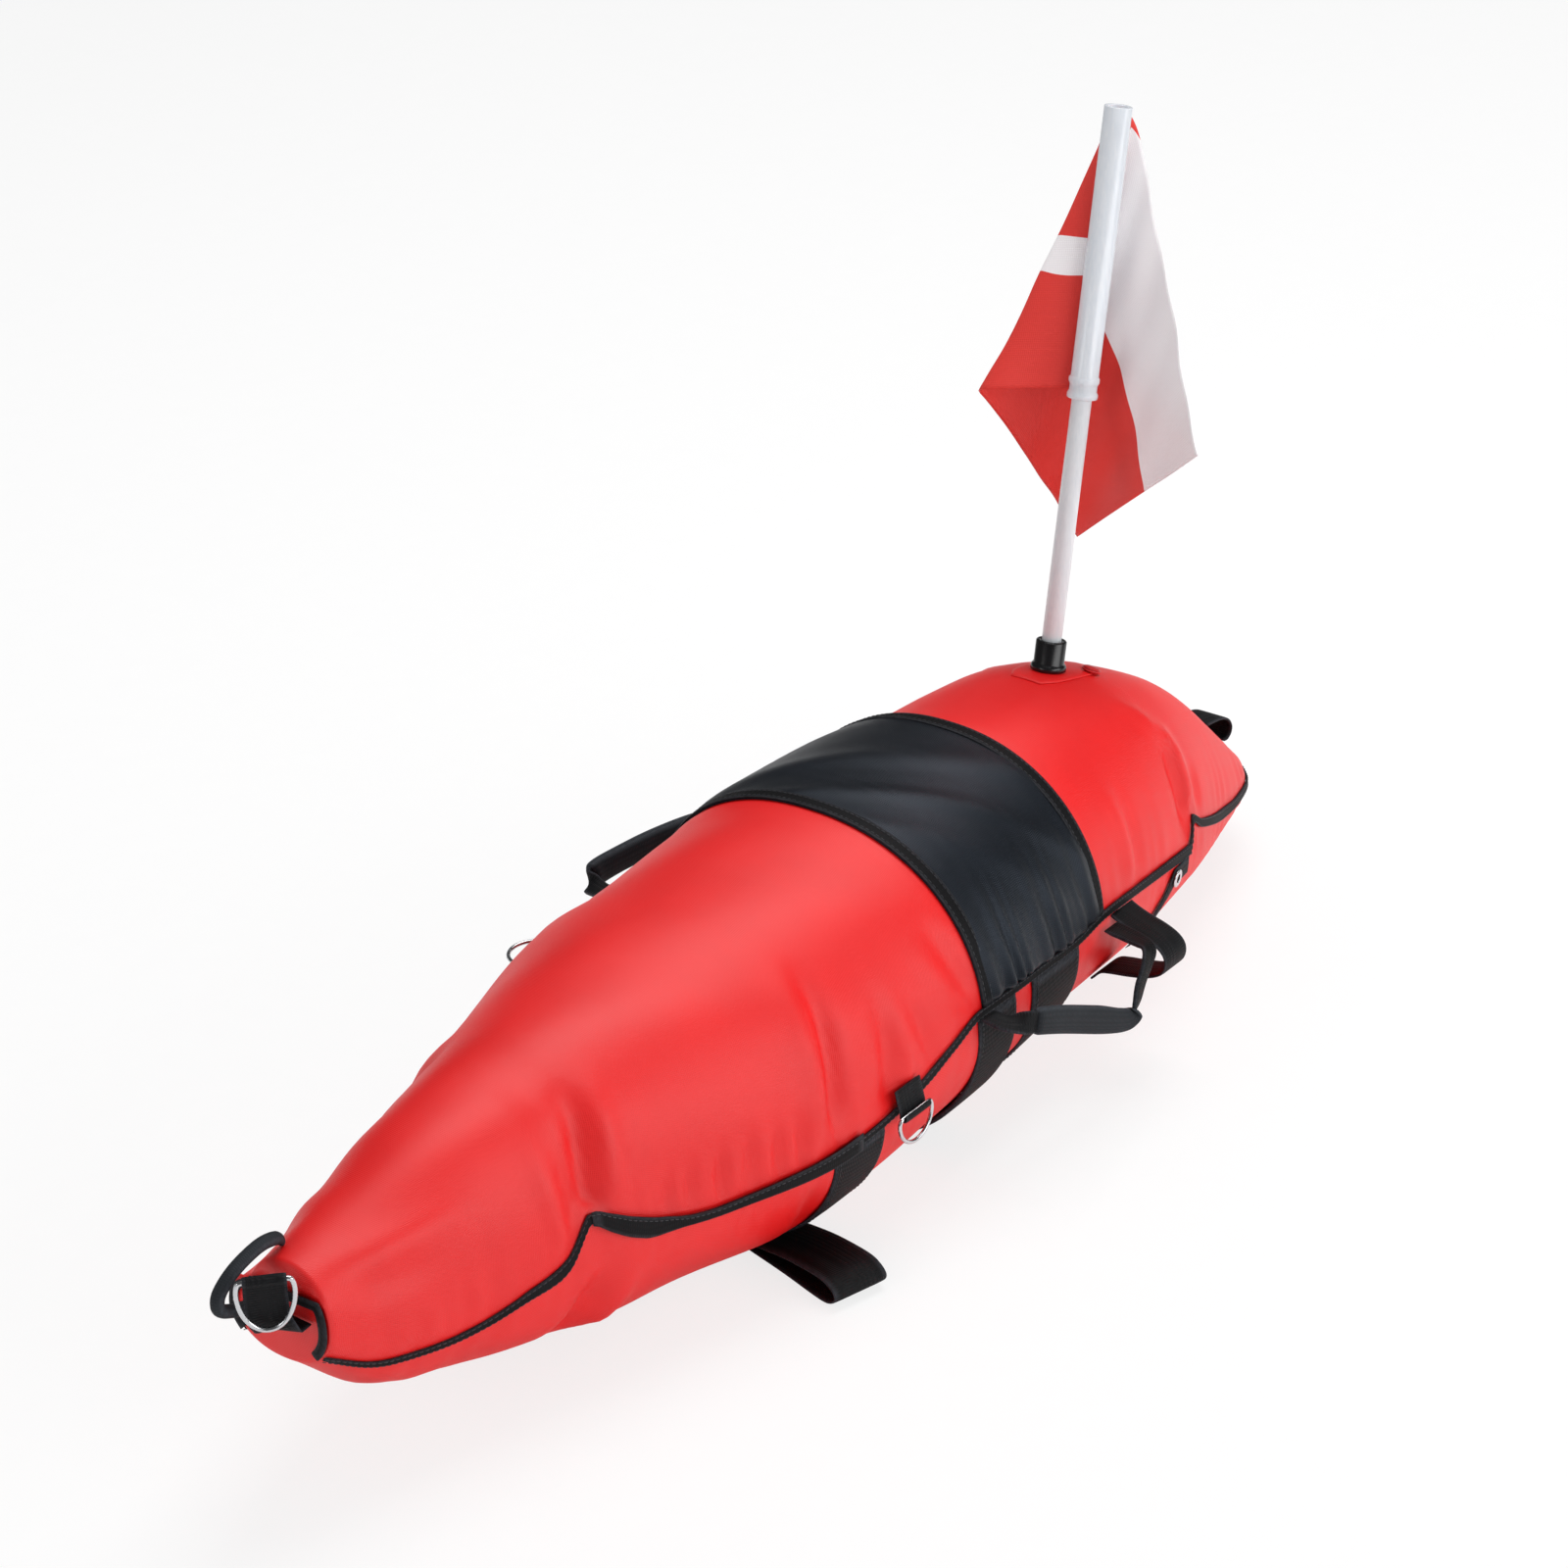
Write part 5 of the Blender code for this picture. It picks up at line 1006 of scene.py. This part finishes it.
VALVE_X, VALVE_DEG, VALVE_RADIUS, VALVE_BORE, VALVE_DEPTH = 0.316, 82.5, 0.0040, 0.0025, 0.0085
VALVE_RIM, VALVE_RIM_THICK = 0.0058, 0.0009
valve_top = GAP + PATCH_THICK + GAP * 2
valve_matrix = facing(VALVE_X, VALVE_DEG, 0.0)
lathe("valve_tube", softened([(VALVE_BORE, valve_top + VALVE_RIM_THICK),
                              (VALVE_RIM, valve_top + VALVE_RIM_THICK), (VALVE_RIM, valve_top),
                              (VALVE_RADIUS, valve_top), (VALVE_RADIUS, -VALVE_DEPTH),
                              (VALVE_BORE, -VALVE_DEPTH)]), valve_matrix, vinyl, "hull", ["inflation_valve"])
CAP_RADIUS, CAP_THICK, PLUG_RADIUS, PLUG_DEPTH = 0.0050, 0.0010, 0.0022, 0.006
cap_low = valve_top + VALVE_RIM_THICK + GAP
lathe("valve_stopper", [(0, cap_low + CAP_THICK), (CAP_RADIUS * 0.55, cap_low + CAP_THICK),
                        (CAP_RADIUS * 0.62, cap_low + CAP_THICK * 0.82),
                        (CAP_RADIUS * 0.85, cap_low + CAP_THICK * 0.82),
                        (CAP_RADIUS, cap_low + CAP_THICK * 0.5), (CAP_RADIUS, cap_low + CAP_THICK * 0.15),
                        (CAP_RADIUS * 0.96, cap_low), (PLUG_RADIUS, cap_low),
                        (PLUG_RADIUS, cap_low - PLUG_DEPTH * 0.9), (PLUG_RADIUS * 0.8, cap_low - PLUG_DEPTH),
                        (0, cap_low - PLUG_DEPTH)], valve_matrix, vinyl, "cap", ["valve_cap"])

# Mast: a turned rubber socket, bonded to the patch, grips a thin white plastic tube. A wider,
# clearer tube with two ribs round its lower end slides over its top and carries the flag.
MAST_LEAN_DEG, MAST_FOOT = 13.9, Vector((0.2915, 0, 0.1865))
MAST_RADIUS, MAST_BORE, MAST_TOP = 0.0059, 0.0043, 0.326
SOCKET_TALL, SOCKET_RADIUS, FLANGE_TALL, FLANGE_RADIUS, SOCKET_FLOOR = 0.0178, 0.0091, 0.0035, 0.0106, 0.0030
SLEEVE_LOW, SLEEVE_TOP, SLEEVE_RADIUS, COLLAR_TOP, COLLAR_RADIUS = 0.1640, 0.3350, 0.0082, 0.1770, 0.0091
SLEEVE_CUT = 0.0003
mast_matrix = Matrix.Translation(MAST_FOOT) @ Matrix.Rotation(math.radians(MAST_LEAN_DEG), 4, "Y")

# Moulded rubber: near black, satin, with a fine grain and a greyer bloom.
rubber = grained("moulded_rubber", "rubber", "0E0E10", 1100.0, 3.0, (0.00006, 0.7), ("0B0B0D", "1A1A1D"),
                 90.0, Roughness=0.27, IOR=1.52)

# Extruded polypropylene: white and slightly clear, drawn lines along the tube.
tube_white = grained("extruded_polypropylene", "white_plastic", "E9EDF1", 900.0, 2.0, (0.00005, 0.5),
                     ("DDE3E9", "F4F6F8"), drawn=6.0, Roughness=0.28, IOR=1.49, Transmission_Weight=0.12)

# The sleeve is the same plastic, thinner and clearer, so the mast shows through as a pale streak.
tube_clear = grained("clear_polypropylene", "clear_plastic", "E4EAF0", 700.0, tints=("E4EBF4", "FBFCFF"),
                     drawn=5.0, Roughness=0.16, IOR=1.49, Transmission_Weight=0.25)

# Both the socket and the sleeve fit round the mast.
mast_bore = MAST_RADIUS + GAP
SOCKET_EDGE, SOCKET_ROUND = 0.0005, 0.0006
lathe("rubber_socket", [(0, SOCKET_FLOOR), (mast_bore, SOCKET_FLOOR), (mast_bore, SOCKET_TALL - SOCKET_EDGE),
                        (mast_bore + SOCKET_EDGE, SOCKET_TALL), (SOCKET_RADIUS - SOCKET_ROUND, SOCKET_TALL),
                        (SOCKET_RADIUS, SOCKET_TALL - SOCKET_ROUND), (SOCKET_RADIUS, FLANGE_TALL + 0.0008),
                        (SOCKET_RADIUS + SOCKET_ROUND, FLANGE_TALL),
                        (FLANGE_RADIUS - SOCKET_EDGE, FLANGE_TALL - 0.0004),
                        (FLANGE_RADIUS, FLANGE_TALL - 0.0015), (FLANGE_RADIUS, 0), (0, 0)], mast_matrix,
      rubber, "hull", ["mast_socket"], 56)
mast_low = SOCKET_FLOOR + GAP
lathe("mast_tube", softened([(MAST_BORE, MAST_TOP), (MAST_RADIUS, MAST_TOP), (MAST_RADIUS, mast_low),
                             (MAST_BORE, mast_low)]), mast_matrix, tube_white, "mast", ["mast"], 48)
lathe("flag_sleeve_tube", softened([(mast_bore, SLEEVE_TOP), (SLEEVE_RADIUS, SLEEVE_TOP),
                                    (SLEEVE_RADIUS, COLLAR_TOP), (COLLAR_RADIUS, COLLAR_TOP - 0.0012),
                                    (COLLAR_RADIUS, COLLAR_TOP - 0.0035),
                                    (SLEEVE_RADIUS, COLLAR_TOP - 0.0050),
                                    (SLEEVE_RADIUS, SLEEVE_LOW + 0.0040),
                                    (COLLAR_RADIUS, SLEEVE_LOW + 0.0025), (COLLAR_RADIUS, SLEEVE_LOW),
                                    (mast_bore, SLEEVE_LOW)], SLEEVE_CUT), mast_matrix, tube_clear,
      "flag_set", ["flag_sleeve"], 48)

# Flag: thin polyester, red with a white stripe, hemmed and welded to the sleeve by its hoist.
# It hangs slack in one wide fold behind the tube, so both of its faces are seen. Its rows run
# from the hoist to the fold and back to the fly, and are pushed out between them.
FLAG_WELD = 0.0005
FLAG_OFF = SLEEVE_RADIUS + GAP + FLAG_WELD
HOIST_TOP, HOIST_LOW = 0.3335, 0.1680
FOLD_TOP, FOLD_LOW = np.array((0.3800, 0.0060, 0.5080)), np.array((0.2965, 0.0525, 0.3520))
FLY_TOP, FLY_LOW = np.array((0.3365, -0.0760, 0.3247)), np.array((0.3797, 0.0381, 0.2280))
FLAG_PUSH, PUSH_FADE, HEM_PUSH = np.array((0.0135, 0.0020, 0)), 0.6, np.array((0.001, -0.0050, 0))
FRONT_SHARES, BACK_SHARES = [0, 0.3, 0.6, 0.88], [0, 0.03, 0.08, 0.16, 0.28, 0.42, 0.56, 0.70, 0.85, 1.0]
FLAG_ROWS, ROW_EASINGS, HEM_SPOT, HEM_SPREAD, CLOTH_HALF, HEM_EXTRA = 60, 2, 0.06, 0.12, 0.00016, 0.00014
WAVE_HIGH, RIPPLE_HIGH, HEM_SHARES = 0.0016, 0.0007, (0.975, 0.02, 0.98)
flag_rows = []
for v in np.linspace(0, 1, FLAG_ROWS + 1):
    hoist = np.array(mast_matrix @ Vector((0, FLAG_OFF, HOIST_TOP + (HOIST_LOW - HOIST_TOP) * v)))
    fold, fly = FOLD_TOP + (FOLD_LOW - FOLD_TOP) * v, FLY_TOP + (FLY_LOW - FLY_TOP) * v
    row = [hoist + (fold - hoist) * s for s in FRONT_SHARES]
    row += [fold + (fly - fold) * s + FLAG_PUSH * (1 - PUSH_FADE * v) * math.sin(math.pi * s ** 0.5)
            + HEM_PUSH * math.exp(-((s - HEM_SPOT) / HEM_SPREAD) ** 2 - (v / HEM_SPREAD) ** 2)
            for s in BACK_SHARES]
    for _ in range(ROW_EASINGS):
        row = [row[0]] + [(row[k - 1] + row[k] * 2 + row[k + 1]) / 4
                          for k in range(1, len(row) - 1)] + [row[-1]]
    flag_rows.append(smooth_path(row, 8))
grid = np.array(flag_rows)
lengths = np.concatenate([np.zeros((len(grid), 1)),
                          np.cumsum(np.linalg.norm(np.diff(grid, axis=1), axis=-1), 1)], 1)
share_along = lengths / lengths[:, -1:]
share_down = np.linspace(0, 1, len(grid))[:, None] + 0 * share_along
normal = np.cross(np.gradient(grid, axis=1), np.gradient(grid, axis=0))
normal /= np.linalg.norm(normal, axis=-1)[..., None] + FINE
free = np.clip(share_along * 4, 0, 1)
wave = WAVE_HIGH * np.sin(share_along * 13 + share_down * 7) * np.sin(share_down * 5 + 0.6) * free
wave += RIPPLE_HIGH * np.sin(share_along * 31 - share_down * 11) * free
hem = np.clip(np.maximum.reduce([share_down - HEM_SHARES[0], HEM_SHARES[1] - share_down,
                                  share_along - HEM_SHARES[2]]) * 200, 0, 1)
grid = grid + normal * wave[..., None]
thick = (CLOTH_HALF + HEM_EXTRA * hem)[..., None]

# Polyester flag cloth: a light weave with threads 1.2 to 1.3 mm apart and a soft sheen. Its stripe is
# printed through, between edges given in shares of the flag: its start leans with the height,
# its top edge and the hem that stays red fall off along the flag, as (slope, offset) each.
STRIPE_LOW = [(0, 0.598), (0.13, 0.58), (0.30, 0.47), (0.475, 0.400), (0.55, 0.383), (0.65, 0.366),
              (0.76, 0.378), (0.883, 0.405), (1, 0.434)]
STRIPE_START, STRIPE_TOP, HEM_EDGE = (0.0333, 0.1), (-0.14, 0.466), (-0.35, 0.055)
THREAD_SHARES, THREAD_DEPTH = (0.006, 0.008), 0.00004
flag_cloth, tree, shader = new_finish("polyester_flag_cloth", "flag_cloth", "D8352C", Roughness=0.6,
                                      Sheen_Weight=0.1)
chart = add(tree, "ShaderNodeUVMap", uv_map="cloth")
along, down = add(tree, "ShaderNodeSeparateXYZ", {0: chart}).outputs[:2]
low_edge = add(tree, "ShaderNodeFloatCurve", {"Value": along})
curve = low_edge.mapping.curves[0]
for k, spot in enumerate(STRIPE_LOW):
    if k < 2:
        curve.points[k].location = spot
    else:
        curve.points.new(*spot)
low_edge.mapping.update()
beyond, below, cleared = [
    add(tree, "ShaderNodeMath", {0: over, 1: add(tree, "ShaderNodeMath", {0: by, 1: slope, 2: offset},
                                                 operation="MULTIPLY_ADD")}, operation="GREATER_THAN")
    for over, by, (slope, offset) in ((along, down, STRIPE_START), (down, along, STRIPE_TOP),
                                      (down, along, HEM_EDGE))]
above = add(tree, "ShaderNodeMath", {0: down, 1: low_edge}, operation="LESS_THAN")
stripe = beyond
for operation, other in (("MAXIMUM", below), ("MULTIPLY", above), ("MULTIPLY", cleared)):
    stripe = add(tree, "ShaderNodeMath", {0: stripe, 1: other}, operation=operation)
warp, weft = [add(tree, "ShaderNodeTexWave", {"Vector": chart, "Scale": math.pi / 10 / share},
                  bands_direction=way).outputs["Fac"] for way, share in zip("XY", THREAD_SHARES)]
threads = add(tree, "ShaderNodeMath", {0: warp, 1: weft}, operation="ADD")
relief = add(tree, "ShaderNodeBump", {"Height": threads, "Distance": THREAD_DEPTH, "Strength": 1.0})
tree.links.new(relief.outputs[0], shader.inputs["Normal"])
red, white = [
    add(tree, "ShaderNodeMix", {0: threads, 6: linear(low), 7: linear(high)}, data_type="RGBA").outputs[2]
    for low, high in (("D92A22", "E6342B"), ("F3EEF1", "FCF9FB"))]
printed = add(tree, "ShaderNodeMix", {0: stripe, 6: red, 7: white}, data_type="RGBA")
tree.links.new(printed.outputs[2], shader.inputs["Base Color"])

rows, cols = grid.shape[:2]
chart = np.stack([share_along, share_down], -1).reshape(-1, 2)
flag = piece("diver_flag", stacked(grid + normal * thick, grid - normal * thick), grid_faces(rows, cols),
             flag_cloth, "flag_set", ["flag"], np.concatenate([chart] * 2))
